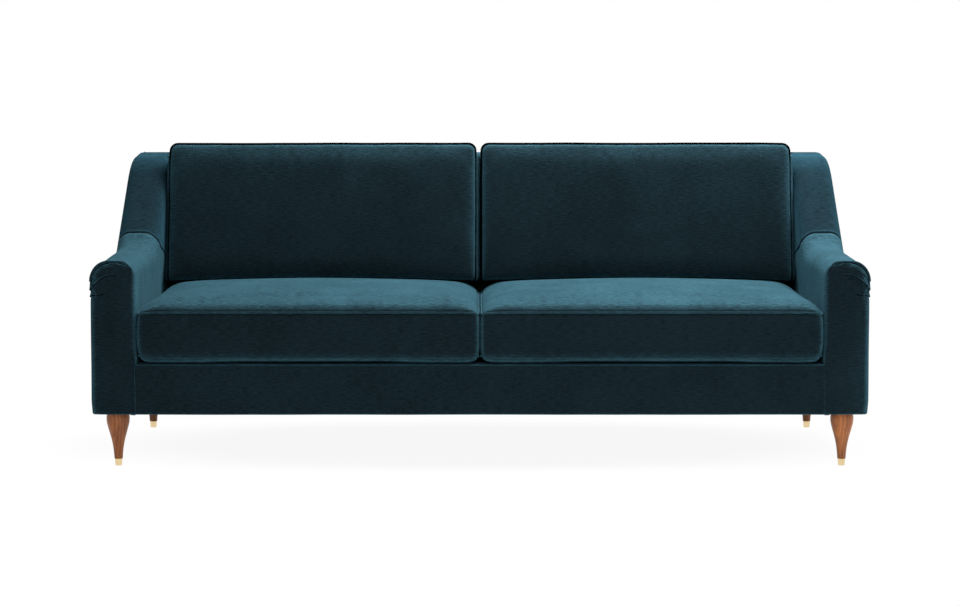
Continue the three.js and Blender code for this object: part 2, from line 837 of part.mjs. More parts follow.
function dustCover() {
  const edge = clothThickness + clearance;
  const x = armOuterX - edge;
  const rear = rearY(legHeight) - edge;
  const outline = [
    [-x + armFrontRoll, frontRailFace], [x - armFrontRoll, frontRailFace],
    [x, frontRailFace + armFrontRoll], [x, rear], [-x, rear], [-x, frontRailFace + armFrontRoll],
  ];
  let sheet = prismZ(outline, legHeight, legHeight + dustCoverThickness);
  const hole = rod(0, 0, legHeight - overrun, legHeight + overrun, boltRadius + clearance);
  for (const side of [-1, 1]) {
    for (const y of [legSetback, rearLegY]) sheet = sheet.subtract(hole.translate([side * legX, y, 0]));
  }
  return sheet;
}

// Legs

function turned(profile, segments) {
  const points = profile.map(([radius, height]) => new THREE.Vector2(radius, height));
  const geometry = new THREE.LatheGeometry(points, segments);
  geometry.rotateX(Math.PI / 2);
  return solidOf(geometry);
}

// Wood from the spigot inside the ferrule up to the frame, with a blind bore for the bolt.
function legTurning() {
  const foot = ferruleHeight + clearance;
  const top = legHeight - clearance;
  const spigotRadius = ferruleFootRadius - ferruleWall - clearance;
  const spigotFoot = foot - (ferruleHeight - ferruleFloor) * spigotShare;
  const bore = boltRadius + clearance;
  const boreFloor = top - boltInLeg - clearance;
  const outside = legProfileShares.map(([h, r]) => [r * legRadius, foot + h * (top - foot)]);
  const profile = [
    [0, spigotFoot], [spigotRadius, spigotFoot], [spigotRadius, foot], ...outside,
    [bore, top], [bore, boreFloor], [0, boreFloor],
  ];
  return turned(profile, legSegments);
}

function ferruleCup() {
  const inner = ferruleFootRadius - ferruleWall;
  const profile = [
    [0, 0], [ferruleFootRadius - ferruleChamfer, 0], [ferruleFootRadius, ferruleChamfer],
    [ferruleMouthRadius, ferruleHeight], [inner, ferruleHeight], [inner, ferruleFloor], [0, ferruleFloor],
  ];
  return turned(profile, legSegments);
}

function hangerBolt() {
  const low = legHeight - clearance - boltInLeg;
  const high = legHeight + boltInPost;
  const point = boltRadius * boltPointShare;
  const profile = [
    [0, low], [boltRadius, low], [boltRadius, high - boltTip], [point, high], [0, high],
  ];
  return turned(profile, boltSegments);
}

// Cushions

// Plan of a cushion as points round a rounded rectangle whose sides draw in between the corners.
function cushionPlan(width, depth, radius, drawIn, sideSteps) {
  const [a, b] = [width / 2, depth / 2];
  const r = Math.min(radius, a, b);
  const quarter = [];
  for (let i = 0; i <= coarseArc; i += 1) {
    const angle = (Math.PI / 2) * (i / coarseArc);
    quarter.push([a - r + r * Math.cos(angle), b - r + r * Math.sin(angle)]);
  }
  const across = [];
  for (let i = 1; i < sideSteps; i += 1) {
    const share = 1 - (2 * i) / sideSteps;
    across.push([(a - r) * share, b - drawIn * (1 - share * share)]);
  }
  const down = [];
  for (let i = 1; i < sideSteps; i += 1) {
    const share = 1 - (2 * i) / sideSteps;
    down.push([-a + drawIn * (1 - share * share), (b - r) * share]);
  }
  const left = [...quarter, ...across, ...quarter.map(([x, y]) => [-x, y]).reverse(), ...down];
  return [...left, ...left.map(([x, y]) => [-x, -y])];
}

// A ring of the plan, drawn in by an inset and then by a share, on a panel that swells by its crown.
function planRing(plan, share, inset, size, edge, crown = 0) {
  const [a, b] = [size.width / 2, size.depth / 2];
  return plan.map(([x, y]) => {
    const [u, v] = [(x * share) / a, (y * share) / b];
    const swell = (1 - Math.abs(u) ** crownPowerShare) * (1 - Math.abs(v) ** crownPowerShare);
    return new THREE.Vector3(u * (a - inset), v * (b - inset), edge + crown * swell);
  });
}

// A boxed cushion lying flat on z = 0 at mid boxing: crowned panels, a welt at each edge.
function cushionForm(size, sideSteps) {
  const plan = cushionPlan(size.width, size.depth, size.radius, size.drawIn, sideSteps);
  const half = size.boxing / 2;
  const ring = (share, inset, z, crown) => planRing(plan, share, inset, size, z, crown);
  const panel = (edge, crown) => crownRingShares.map((share) => ring(share, weltSize, edge, crown));
  const rings = [
    ...panel(-half - weltSize / 2, -size.crownBelow),
    ring(1, weltSize, -half - weltSize / 2), ring(1, 0, -half), ring(1, weltSize, -half + weltSize),
    ring(1, weltSize - size.bulge, 0),
    ring(1, weltSize, half - weltSize), ring(1, 0, half), ring(1, weltSize, half + weltSize / 2),
    ...panel(half + weltSize / 2, size.crownAbove).reverse(),
  ];
  return loft(rings);
}

// The foam of a cushion, or the space for it, an inset inside the cover.
function coreForm(size, inset) {
  const plan = cushionPlan(size.width, size.depth, size.radius, size.drawIn, 2);
  const half = size.boxing / 2 - inset;
  const margin = inset + weltSize + size.drawIn;
  const ring = (share, z, crown) => planRing(plan, share, margin, size, z, crown * coreCrownShare);
  const soft = crownRingShares.filter((share, i) => i % 2 === 1);
  const above = soft.map((share) => ring(share, half, size.crownAbove));
  const below = soft.map((share) => ring(share, -half, -size.crownBelow));
  return loft([...below, ring(1, -half, 0), ring(1, half, 0), ...above.reverse()]);
}

// Cover with its wadding, open at the zip in the boxing that faces away.
function cushionCover(size, zipSide, sideSteps) {
  const space = coreForm(size, wrapThickness - clearance);
  const edge = size.depth / 2;
  const ends = [zipSide * (edge - wrapThickness - overrun), zipSide * (edge + overrun)];
  const zip = Math.min(zipLength, size.width - 2 * (size.radius + wrapThickness));
  const slot = block(-zip / 2, zip / 2, Math.min(...ends), Math.max(...ends), -zipSlot / 2, zipSlot / 2);
  return cushionForm(size, sideSteps).subtract(space).subtract(slot);
}

const seatSize = {
  width: armInnerX - seatSideGap - seatMiddleGap / 2,
  depth: insideY(seatWeltHeight, 0) - seatRearGap + seatFrontOverhang,
  boxing: seatBoxing,
  radius: seatCornerRadius,
  drawIn: seatDrawIn,
  bulge: seatBulge,
  crownAbove: seatCrown,
  crownBelow: seatWeltHeight - deckHeight - clearance - weltSize / 2,
};

const backSize = {
  width: armInnerX - backSideGap - backMiddleGap / 2,
  depth: backCushionHeight,
  boxing: backBoxing,
  radius: backCornerRadius,
  drawIn: backDrawIn,
  bulge: backBulge,
  crownAbove: backCushionTop,
  crownBelow: backCushionSeat,
};

// Finishes: colour, roughness and metalness
const finishes = {
  velvet: { color: '#20363f', roughness: 0.85, metalness: 0 },
  foam: { color: '#e6dfc8', roughness: 0.95, metalness: 0 },
  wadding: { color: '#eeeeea', roughness: 1, metalness: 0 },
  cambric: { color: '#1c1d1f', roughness: 0.9, metalness: 0 },
  webbing: { color: '#6d5f4b', roughness: 0.85, metalness: 0 },
  framewood: { color: '#c8a878', roughness: 0.7, metalness: 0 },
  walnut: { color: '#9a6b49', roughness: 0.45, metalness: 0 },
  brass: { color: '#e0c89a', roughness: 0.28, metalness: 1 },
  steel: { color: '#8f9397', roughness: 0.4, metalness: 1 },
};

const sofa = new THREE.Group();
const body = new THREE.Group();
body.position.y = -overallDepth / 2;
sofa.add(body);

function addPiece(name, solid, finish, parent = body) {
  const mesh = new THREE.Mesh(geometryOf(solid), new THREE.MeshStandardMaterial(finishes[finish]));
  mesh.name = name;
  parent.add(mesh);
  return mesh;
}

// The same piece on both sides, mirrored.
function addPair(name, rightSolid, finish) {
  addPiece(`${name}_right`, rightSolid, finish);
  addPiece(`${name}_left`, mirrored(rightSolid), finish);
}

function addFrame() {
  addPiece('front_seat_rail', crossSeatRail(frontRailFace), 'framewood');
  addPiece('rear_seat_rail', crossSeatRail(rearRailRear - railThickness), 'framewood');
  addPair('side_seat_rail', sideSeatRail(), 'framewood');
  addPiece('centre_stretcher', centreStretcher(), 'framewood');
  addPair('corner_block_front', cornerBlock(false), 'framewood');
  addPair('corner_block_rear', cornerBlock(true), 'framewood');
  const boards = armBoards();
  addPair('arm_outer_board', boards.outer, 'framewood');
  addPair('arm_inner_board', boards.inner, 'framewood');
  addPair('arm_front_post', armFrontPost(), 'framewood');
  addPair('back_post', backPost(), 'framewood');
  addPiece('top_back_rail', topBackRail(), 'framewood');
  addPiece('lower_back_rail', lowerBackRail(), 'framewood');
  addPiece('back_centre_upright', backCentreUpright(), 'framewood');
}

function addSuspension() {
  addPair('seat_springs', seatSprings(), 'steel');
  const { net, place } = backWebbing();
  for (const [side, name] of [[1, 'back_webbing_right'], [-1, 'back_webbing_left']]) {
    const mesh = addPiece(name, net, 'webbing');
    mesh.rotation.x = Math.PI / 2 - insideBackRake;
    mesh.position.set(side * place.x, place.y, place.z);
  }
}

function addPaddingAndCovers() {
  addPair('arm_padding', armPadding(), 'foam');
  const covers = armCovers();
  addPair('arm_cover', covers.arm, 'velvet');
  addPair('wing_cover', covers.wing, 'velvet');
  addPiece('back_padding', backPaddingPiece(), 'foam');
  addPiece('inside_back_cover', insideBackCover(), 'velvet');
  addPiece('outside_back_cover', outsideBackCover(), 'velvet');
  addPiece('front_border_padding', frontBorderPadding(), 'wadding');
  addPiece('front_border_cover', frontBorderCover(), 'velvet');
  addPiece('deck_pad', deckPad(), 'foam');
  addPiece('deck_cover', deckCover(), 'cambric');
  addPiece('dust_cover', dustCover(), 'cambric');
}

function addLegs() {
  const [leg, ferrule, bolt] = [legTurning(), ferruleCup(), hangerBolt()];
  for (const [side, sideName] of [[1, 'right'], [-1, 'left']]) {
    for (const [y, row] of [[legSetback, 'front'], [rearLegY, 'rear']]) {
      const corner = new THREE.Group();
      corner.position.set(side * legX, y, 0);
      body.add(corner);
      addPiece(`leg_${row}_${sideName}`, leg, 'walnut', corner);
      addPiece(`ferrule_${row}_${sideName}`, ferrule, 'brass', corner);
      addPiece(`hanger_bolt_${row}_${sideName}`, bolt, 'steel', corner);
    }
  }
}

function addCushion(kind, sideName, group, cover, core) {
  body.add(group);
  addPiece(`${kind}_cushion_${sideName}`, cover, 'velvet', group);
  addPiece(`${kind}_core_${sideName}`, core, 'foam', group);
}

function addCushions() {
  const seatCover = cushionCover(seatSize, 1, cushionSideSteps);
  const seatCore = coreForm(seatSize, wrapThickness);
  const backCover = cushionCover(backSize, -1, cushionSideSteps);
  const backCore = coreForm(backSize, wrapThickness);
  const lean = Math.PI / 2 - insideBackRake;
  for (const [side, name] of [[1, 'right'], [-1, 'left']]) {
    const seat = new THREE.Group();
    seat.position.set(
      side * (seatMiddleGap / 2 + seatSize.width / 2),
      -seatFrontOverhang + seatSize.depth / 2,
      seatWeltHeight + seatBoxing / 2);
    addCushion('seat', name, seat, seatCover, seatCore);
    const back = new THREE.Group();
    const stand = backBoxing / 2 + backCushionSeat + weltSize / 2 + clearance;
    const middle = backCushionFoot - (backBoxing / 2) * Math.sin(insideBackRake)
      + (backCushionHeight / 2) * Math.cos(insideBackRake);
    back.rotation.x = lean;
    back.position.set(
      side * (backMiddleGap / 2 + backSize.width / 2),
      insideY(middle, -stand),
      middle);
    addCushion('back', name, back, backCover, backCore);
  }
}

addFrame();
addSuspension();
addPaddingAndCovers();
addLegs();
addCushions();

export default sofa;
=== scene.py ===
"""Looks of a velvet sofa with sloped arms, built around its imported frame.

Everything is in metres, in the frame's own axes: +X to the viewer's right, -Y to the front, +Z up.
"""

from __future__ import annotations

import json
import logging
import math
from dataclasses import dataclass, replace
from enum import Enum
from typing import Any, Callable, Sequence

import bmesh
import bpy
import numpy as np
from mathutils import Euler, Matrix, Vector, noise
from mathutils.kdtree import KDTree

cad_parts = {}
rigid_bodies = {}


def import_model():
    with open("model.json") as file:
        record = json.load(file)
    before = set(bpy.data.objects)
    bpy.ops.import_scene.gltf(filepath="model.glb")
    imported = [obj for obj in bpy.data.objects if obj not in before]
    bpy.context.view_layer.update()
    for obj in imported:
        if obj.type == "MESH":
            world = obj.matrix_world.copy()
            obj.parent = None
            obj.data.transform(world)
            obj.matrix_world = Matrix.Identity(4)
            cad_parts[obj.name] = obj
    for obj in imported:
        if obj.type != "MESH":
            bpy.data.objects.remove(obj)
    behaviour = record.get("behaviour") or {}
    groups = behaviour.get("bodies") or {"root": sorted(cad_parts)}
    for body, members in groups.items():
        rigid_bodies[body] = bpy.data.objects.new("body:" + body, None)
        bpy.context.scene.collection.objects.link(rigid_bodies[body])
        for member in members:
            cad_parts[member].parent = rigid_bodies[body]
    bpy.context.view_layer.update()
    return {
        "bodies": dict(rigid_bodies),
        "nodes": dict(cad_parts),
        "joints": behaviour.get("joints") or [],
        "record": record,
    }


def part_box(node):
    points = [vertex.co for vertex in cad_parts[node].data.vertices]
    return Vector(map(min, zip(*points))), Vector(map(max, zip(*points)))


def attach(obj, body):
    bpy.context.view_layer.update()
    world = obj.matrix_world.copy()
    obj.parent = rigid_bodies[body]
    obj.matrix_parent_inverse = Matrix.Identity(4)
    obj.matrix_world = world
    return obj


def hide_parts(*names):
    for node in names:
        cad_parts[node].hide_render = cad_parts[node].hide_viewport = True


LOG = logging.getLogger("sofa")

ARM_FRONT_Y = -0.47  # the arm fronts, in the frame's axes
WAVE_WIDTH = 0.314  # width of a band of the wave texture at scale 1
FOLD_POINTS = 160  # along each fold of the arm's front
Settings = dict[str, Any]
Pair = tuple[float, float]
Triple = tuple[float, float, float]
Array = np.ndarray
Piece = bpy.types.Object
Tree = bpy.types.NodeTree
Node = bpy.types.Node
Socket = bpy.types.NodeSocket


class Side(Enum):
    """The two ends of the sofa, as the viewer sees them."""

    LEFT = "left"
    RIGHT = "right"

    @property
    def sign(self) -> float:
        """Direction along X."""
        return -1.0 if self is Side.LEFT else 1.0


class Axis(Enum):
    """The turn that lays a wood's grain along an axis."""

    ALONG_X = (0.0, math.pi / 2, 0.0)
    ALONG_Y = (math.pi / 2, 0.0, 0.0)
    ALONG_Z = (0.0, 0.0, 0.0)


# Sizes shared by the sub-assemblies


@dataclass(frozen=True)
class SofaSizes:
    """Main sizes of the sofa."""

    half_width: float = 1.094
    base_depth: float = 0.9
    lean: float = 0.04
    skirt: float = 0.152
    deck: float = 0.2946
    back_top: float = 0.8635  # the covers, which press the padding down
    arm_width: float = 0.125
    back_foot: float = 0.712  # inside of the tight back at deck height, from the arm front
    back_rake: float = math.radians(14.0)
    cloth: float = 0.0025
    thin_cloth: float = 0.002  # where it is stretched flat
    flap: float = 0.018  # cloth turned under a lower edge

    @property
    def inner(self) -> float:
        """X of the arm's inner face."""
        return self.half_width - self.arm_width

    def rear_y(self, z: float | Array) -> float | Array:
        """Y of the outside back at a height, from the arm front."""
        return self.base_depth + self.lean * (z - self.skirt) / (self.back_top - self.skirt)

    def inside_y(self, z: float, inset: float = 0.0) -> float:
        """Y of the inside back at a height, from the arm front."""
        return self.back_foot + (z - self.deck) * math.tan(self.back_rake) + inset / math.cos(self.back_rake)


SOFA = SofaSizes()


# Working with objects


def deselect() -> None:
    """Leaves nothing selected."""
    for item in bpy.context.selected_objects:
        item.select_set(False)
    bpy.context.view_layer.objects.active = None


def pick(piece: Piece) -> Piece:
    """Makes one object the only one selected, and active."""
    deselect()
    piece.select_set(True)
    bpy.context.view_layer.objects.active = piece
    return piece


def call(piece: Piece, name: str) -> Piece:
    """Gives an object and its mesh one name."""
    piece.name = name
    piece.data.name = name
    return piece


def settle(piece: Piece, name: str) -> Piece:
    """Names an object, and moves its place and its modifiers into its mesh."""
    apply_all(piece)
    bpy.ops.object.transform_apply(location=True, rotation=True, scale=True)
    return call(piece, name)


def modifier(piece: Piece, kind: str, **settings: Any) -> bpy.types.Modifier:
    """Adds a modifier of a kind that Blender names, with its settings."""
    added = piece.modifiers.new(kind.lower(), kind)
    for key, value in settings.items():
        setattr(added, key, value)
    return added


def apply_all(piece: Piece) -> Piece:
    """Applies every modifier of an object."""
    pick(piece)
    for item in list(piece.modifiers):
        bpy.ops.object.modifier_apply(modifier=item.name)
    return piece


def in_edit_mode(piece: Piece, work: Callable[[bmesh.types.BMesh], None]) -> None:
    """Runs work on an object's mesh in edit mode, with nothing selected at the start."""
    pick(piece)
    bpy.ops.object.mode_set(mode="EDIT")
    bpy.ops.mesh.select_all(action="DESELECT")
    work(bmesh.from_edit_mesh(piece.data))
    bpy.ops.object.mode_set(mode="OBJECT")


def read(items: Any, field: str, width: int, kind: type = np.float32) -> Array:
    """One field of every item of a mesh, with one row per item."""
    values = np.empty(len(items) * width, kind)
    items.foreach_get(field, values)
    return values.reshape(-1, width)


def coordinates(piece: Piece) -> Array:
    """The points of an object's mesh, one per row."""
    return read(piece.data.vertices, "co", 3).astype(float)


def normals(piece: Piece) -> Array:
    """The normals of an object's points, one per row."""
    return read(piece.data.vertices, "normal", 3).astype(float)


def place_points(piece: Piece, points: Array) -> None:
    """Moves the points of an object's mesh."""
    piece.data.vertices.foreach_set("co", points.astype(np.float32).ravel())
    piece.data.update()


def clean(piece: Piece, nearness: float = 1e-5) -> Piece:
    """Merges points that lie nearer than a distance, and turns all faces outwards."""

    def work(_: bmesh.types.BMesh) -> None:
        """Acts on the whole mesh."""
        bpy.ops.mesh.select_all(action="SELECT")
        bpy.ops.mesh.remove_doubles(threshold=nearness)
        bpy.ops.mesh.normals_make_consistent(inside=False)

    in_edit_mode(piece, work)
    return piece


def smooth(piece: Piece, angle: float = math.radians(50.0)) -> Piece:
    """Shades an object smooth, apart from edges sharper than an angle."""
    pick(piece)
    bpy.ops.object.shade_smooth_by_angle(angle=angle)
    return piece


def cloth_grid(name: str, points: Array) -> Piece:
    """A grid primitive drawn over rows of points. It may face either way until it is cleaned."""
    rows, columns = points.shape[:2]
    deselect()
    bpy.ops.mesh.primitive_grid_add(x_subdivisions=columns - 1, y_subdivisions=rows - 1, size=1.0)
    piece = call(bpy.context.active_object, name)
    place_points(piece, points.reshape(-1, 3))
    return piece


def thicken(piece: Piece, thickness: float) -> Piece:
    """Gives an open skin its thickness, inwards, and closes its rim."""
    modifier(piece, "SOLIDIFY", thickness=thickness, offset=-1.0, use_rim=True, use_even_offset=False)
    return apply_all(piece)


def lay_cloth(piece: Piece) -> None:
    """Writes a UV map in metres that follows the cloth on each face."""
    mesh = piece.data
    layer = mesh.uv_layers.get("cloth") or mesh.uv_layers.new(name="cloth")
    totals = read(mesh.polygons, "loop_total", 1, np.int32)[:, 0]
    strongest = np.repeat(np.abs(read(mesh.polygons, "normal", 3)).argmax(1), totals)
    at = coordinates(piece)[read(mesh.loops, "vertex_index", 1, np.int32)[:, 0]]
    across = np.where(strongest == 0, at[:, 1], at[:, 0])
    along = np.where(strongest == 2, at[:, 1], at[:, 2])
    layer.data.foreach_set("uv", np.stack([across, along], 1).astype(np.float32).ravel())
    mesh.uv_layers.active = layer


def ripple(points: Array, scale: float, seed: float) -> Array:
    """A smooth number from about -1 to 1 for each point. The seed chooses one of many fixed patterns."""
    shift = Vector((seed, seed * 1.7, seed * 2.3))
    return np.array([noise.noise(Vector(p) / scale + shift) for p in points])


@dataclass(frozen=True)
class Humps:
    """The soft humps of a cloth over its padding."""

    height: float
    length: float
    seed: float

    def at(self, points: Array) -> Array:
        """How far each point stands out."""
        return self.height * ripple(points, self.length, self.seed)


def nearest(points: Array, line: Array) -> tuple[Array, Array]:
    """How far each point lies from a line of points, and which of them is nearest."""
    tree = KDTree(len(line))
    for i, p in enumerate(line):
        tree.insert(p, i)
    tree.balance()
    found = [tree.find(p) for p in points]
    return np.array([f[2] for f in found]), np.array([f[1] for f in found])


def spread_out(piece: Piece, field: Array, rounds: int) -> Array:
    """Evens out a value held by each point of a mesh, over its neighbours.

    Args:
        piece: The object.
        field: One row per point.
        rounds: How many times each point takes half of its neighbours' mean.

    Returns:
        The evened rows.
    """
    ends = read(piece.data.edges, "vertices", 2, np.int32)
    count = np.bincount(ends.ravel(), minlength=len(field))[:, None]
    first, second = ends.T
    for _ in range(rounds):
        total = np.zeros_like(field)
        np.add.at(total, first, field[second])
        np.add.at(total, second, field[first])
        field = (field + total / count) / 2
    return field


def ramp(value: Any, start: float, run: float) -> Any:
    """0 up to a start, 1 from one run past it, and straight between."""
    return np.clip((value - start) / run, 0, 1)


def bell(distance: Any, width: float) -> Any:
    """1 at no distance, falling off smoothly past a width."""
    return np.exp(-((distance / width) ** 2))


def arc(centre: Pair, radius: float, start: float, end: float, count: int) -> list[Pair]:
    """Points on an arc between two angles from the first axis."""
    turns = np.linspace(start, end, count)
    return [(centre[0] + radius * math.cos(a), centre[1] + radius * math.sin(a)) for a in turns]


def spaced(line: Array, count: int = 0, step: float = 1.0) -> Array:
    """Points at even distances along a line of points.

    Args:
        line: One point per row.
        count: How many points, with both ends. At 0 the step decides.
        step: About how far apart they lie.

    Returns:
        One point per row.
    """
    reached = np.r_[0, np.cumsum(np.linalg.norm(np.diff(line, axis=0), axis=1))]
    at = np.linspace(0, reached[-1], count or int(reached[-1] / step) + 1)
    return np.stack([np.interp(at, reached, column) for column in line.T], 1)


def even_out(rows: Array, reach: int, **padding: Any) -> Array:
    """A running mean over the rows up to a reach before and after each."""
    padded = np.pad(rows, ((reach, reach), (0, 0)), **padding)
    window = np.ones(2 * reach + 1) / (2 * reach + 1)
    return np.stack([np.convolve(column, window, "valid") for column in padded.T], 1)


def drawn_across(path: Sequence[Pair], across: Array) -> Array:
    """A grid of points: a path of Z over Y from the arm front, repeated at each X."""
    line = np.array(path)
    return np.stack([np.c_[np.full(len(line), x), line[:, 0] + ARM_FRONT_Y, line[:, 1]] for x in across], 1)


def tube(name: str, line: Array, radius: float, closed: bool, sides: int = 4) -> Piece:
    """A round cord along a line, as a mesh.

    Args:
        name: The object's name.
        line: Points along its middle.
        radius: Its radius.
        closed: Whether its end meets its start.
        sides: Steps in a quarter of its round.

    Returns:
        The object.
    """
    curve = bpy.data.curves.new(name, "CURVE")
    curve.dimensions = "3D"
    spline = curve.splines.new("POLY")
    spline.points.add(len(line) - 1)
    spline.points.foreach_set("co", np.c_[line, np.ones(len(line))].ravel())
    spline.use_cyclic_u = closed
    curve.bevel_depth = radius
    curve.bevel_resolution = sides
    curve.use_fill_caps = not closed
    piece = bpy.data.objects.new(name, curve)
    bpy.context.scene.collection.objects.link(piece)
    pick(piece)
    bpy.ops.object.convert(target="MESH")
    piece = call(bpy.context.active_object, name)
    clean(piece, radius / 50)
    return smooth(piece)


# Finishes


def linear(code: str) -> tuple[float, float, float, float]:
    """Turns an sRGB hex colour into the opaque linear one that a shader takes."""
    digits = code.lstrip("#")
    values = [int(digits[i : i + 2], 16) / 255 for i in (0, 2, 4)]
    red, green, blue = (v / 12.92 if v <= 0.04045 else ((v + 0.055) / 1.055) ** 2.4 for v in values)
    return red, green, blue, 1.0


def add(
    tree: Tree,
    kind: str,
    values: Settings | None = None,
    links: dict[str | int, Socket] | None = None,
    **settings: Any,
) -> Node:
    """Adds a shader node with its settings and links.

    Args:
        tree: The node tree.
        kind: The node's type, without its prefix.
        values: Values of its input sockets, by name or number.
        links: Sockets that feed its inputs, by name or number.
        **settings: Values of the node's own properties.

    Returns:
        The node.
    """
    made = tree.nodes.new(f"ShaderNode{kind}")
    for key, value in settings.items():
        setattr(made, key, value)
    for key, value in (values or {}).items():
        made.inputs[key].default_value = value
    for key, socket in (links or {}).items():
        tree.links.new(socket, made.inputs[key])
    return made


def blank_tree(owner: bpy.types.Material | bpy.types.World) -> Tree:
    """Turns on the nodes of a material or a world, and empties them."""
    owner.use_nodes = True
    owner.node_tree.nodes.clear()
    return owner.node_tree


def weighed(tree: Tree, *parts: tuple[Socket, float]) -> Socket:
    """The sum of some values, each times its weight."""
    total = None
    for value, weight in parts:
        links = {0: value} if total is None else {0: value, 2: total}
        total = add(tree, "Math", {1: weight, 2: 0.0}, links, operation="MULTIPLY_ADD").outputs[0]
    return total


def lay_colour(
    tree: Tree,
    shader: Node,
    colours: tuple[str, str],
    share: Socket,
    relief: Socket,
    bump: Pair,
) -> None:
    """Feeds a shader a colour between two, and a bump.

    Args:
        tree: The node tree.
        shader: The shader.
        colours: The two colours, in hex.
        share: How much of the second one shows.
        relief: Height of the marks on the surface.
        bump: Strength and depth of those marks.
    """
    ends = {6: linear(colours[0]), 7: linear(colours[1])}
    colour = add(tree, "Mix", ends, {0: share}, data_type="RGBA")
    marks = add(tree, "Bump", {"Strength": bump[0], "Distance": bump[1]}, {"Height": relief})
    tree.links.new(colour.outputs[2], shader.inputs["Base Color"])
    tree.links.new(marks.outputs[0], shader.inputs["Normal"])


@dataclass(frozen=True)
class Finish:
    """A finish: its name, and how the light meets it."""

    name: str
    roughness: float = 0.6

    def paint(self, tree: Tree, shader: Node) -> None:
        """Adds the finish's own nodes, and feeds them to the shader."""

    def material(self) -> bpy.types.Material:
        """The finish as a Blender material, made once."""
        found = bpy.data.materials.get(self.name)
        if found:
            return found
        made = bpy.data.materials.new(self.name)
        tree = blank_tree(made)
        shader = add(tree, "BsdfPrincipled", {"Roughness": self.roughness})
        add(tree, "OutputMaterial", links={"Surface": shader.outputs[0]})
        self.paint(tree, shader)
        return made


@dataclass(frozen=True)
class Velvet(Finish):
    """Cut-pile velvet with painted sheen: dark where the eye looks down into its pile, and painted paler
    where the surface turns from the eye.
    """

    pile: str = "#18262c"
    painted_sheen: str = "#3a5f6c"
    painted_sheen_turn: Pair = (0.02, 0.42)  # turn from the eye at which the painted sheen begins to show, and is full
    fewest_painted_sheen: float = 0.04  # share of the painted sheen that shows head-on
    sheen: str = "#86cde6"
    sheen_weight: float = 0.12
    sheen_roughness: float = 0.3
    slub: Pair = (0.021, 0.0026)  # thicker yarns, drawn coarser than the real 1 mm
    nap: float = 0.0045  # tufts that lie apart, drawn coarser than the real 1 mm
    brushing: float = 0.16  # patches where a hand has stroked the pile
    weights: Triple = (0.4, 0.45, 0.35)  # of slubs, tufts and patches
    unevenness: float = 0.55  # how much these three change the tips
    shading: float = 0.34  # how much they lighten and darken the colour
    specular: float = 0.02

    def paint(self, tree: Tree, shader: Node) -> None:
        """Painted sheen that pales the colour as the surface turns from the eye, slubs across the cloth,
        tufts, and brushed patches.
        """
        place = {"Vector": add(tree, "TexCoord").outputs["Object"]}
        cloth = {"Vector": add(tree, "UVMap", uv_map="cloth").outputs[0]}
        stretch = {"Scale": (1 / self.slub[0], 1 / self.slub[1], 1.0)}
        yarns = {"Vector": add(tree, "Mapping", stretch, cloth).outputs[0]}
        slubs = add(tree, "TexNoise", {"Scale": 1.0, "Detail": 3.0, "Roughness": 0.65}, yarns)
        tufts = add(tree, "TexNoise", {"Scale": 1 / self.nap, "Detail": 2.0, "Roughness": 0.7}, place)
        soft = {"Scale": 1 / self.brushing, "Detail": 2.0, "Distortion": 0.6}
        patches = add(tree, "TexNoise", soft, place)
        strokes = add(tree, "MapRange", {"From Min": 0.3, "From Max": 0.62}, {"Value": slubs.outputs[0]})
        grain = weighed(tree, (strokes.outputs[0], self.weights[0]), (tufts.outputs[0], self.weights[1]))
        mixed = weighed(tree, (grain, 1.0), (patches.outputs[0], self.weights[2]))
        evened = {"From Min": 0.45, "From Max": 0.9, "To Min": -0.5, "To Max": 0.5}
        lay = add(tree, "MapRange", evened, {"Value": mixed}).outputs[0]
        # Painted sheen: the base colour pales towards painted_sheen as the surface turns from the eye.
        facing = add(tree, "LayerWeight", {"Blend": 0.5}).outputs["Facing"]
        reach = {"From Min": self.painted_sheen_turn[0], "From Max": self.painted_sheen_turn[1], "To Min": self.fewest_painted_sheen}
        turned = add(tree, "MapRange", reach, {"Value": facing})
        spread = add(tree, "Math", {1: self.unevenness, 2: 1.0}, {0: lay}, operation="MULTIPLY_ADD")
        both = {0: turned.outputs[0], 1: spread.outputs[0]}
        share = add(tree, "Math", links=both, operation="MULTIPLY", use_clamp=True)
        ends = {6: linear(self.pile), 7: linear(self.painted_sheen)}
        colour = add(tree, "Mix", ends, {0: share.outputs[0]}, data_type="RGBA")
        shades = {"From Min": -0.5, "From Max": 0.5, "To Min": 1 - self.shading, "To Max": 1 + self.shading}
        tone = add(tree, "MapRange", shades, {"Value": lay})
        both = {0: colour.outputs[2], 1: tone.outputs[0]}
        shaded = add(tree, "VectorMath", links=both, operation="MULTIPLY")
        bump = add(tree, "Bump", {"Strength": 0.35, "Distance": 0.0012}, {"Height": grain})
        tree.links.new(shaded.outputs[0], shader.inputs["Base Color"])
        tree.links.new(bump.outputs[0], shader.inputs["Normal"])
        shader.inputs["Sheen Weight"].default_value = self.sheen_weight
        shader.inputs["Sheen Roughness"].default_value = self.sheen_roughness
        shader.inputs["Sheen Tint"].default_value = linear(self.sheen)
        shader.inputs["Specular IOR Level"].default_value = self.specular


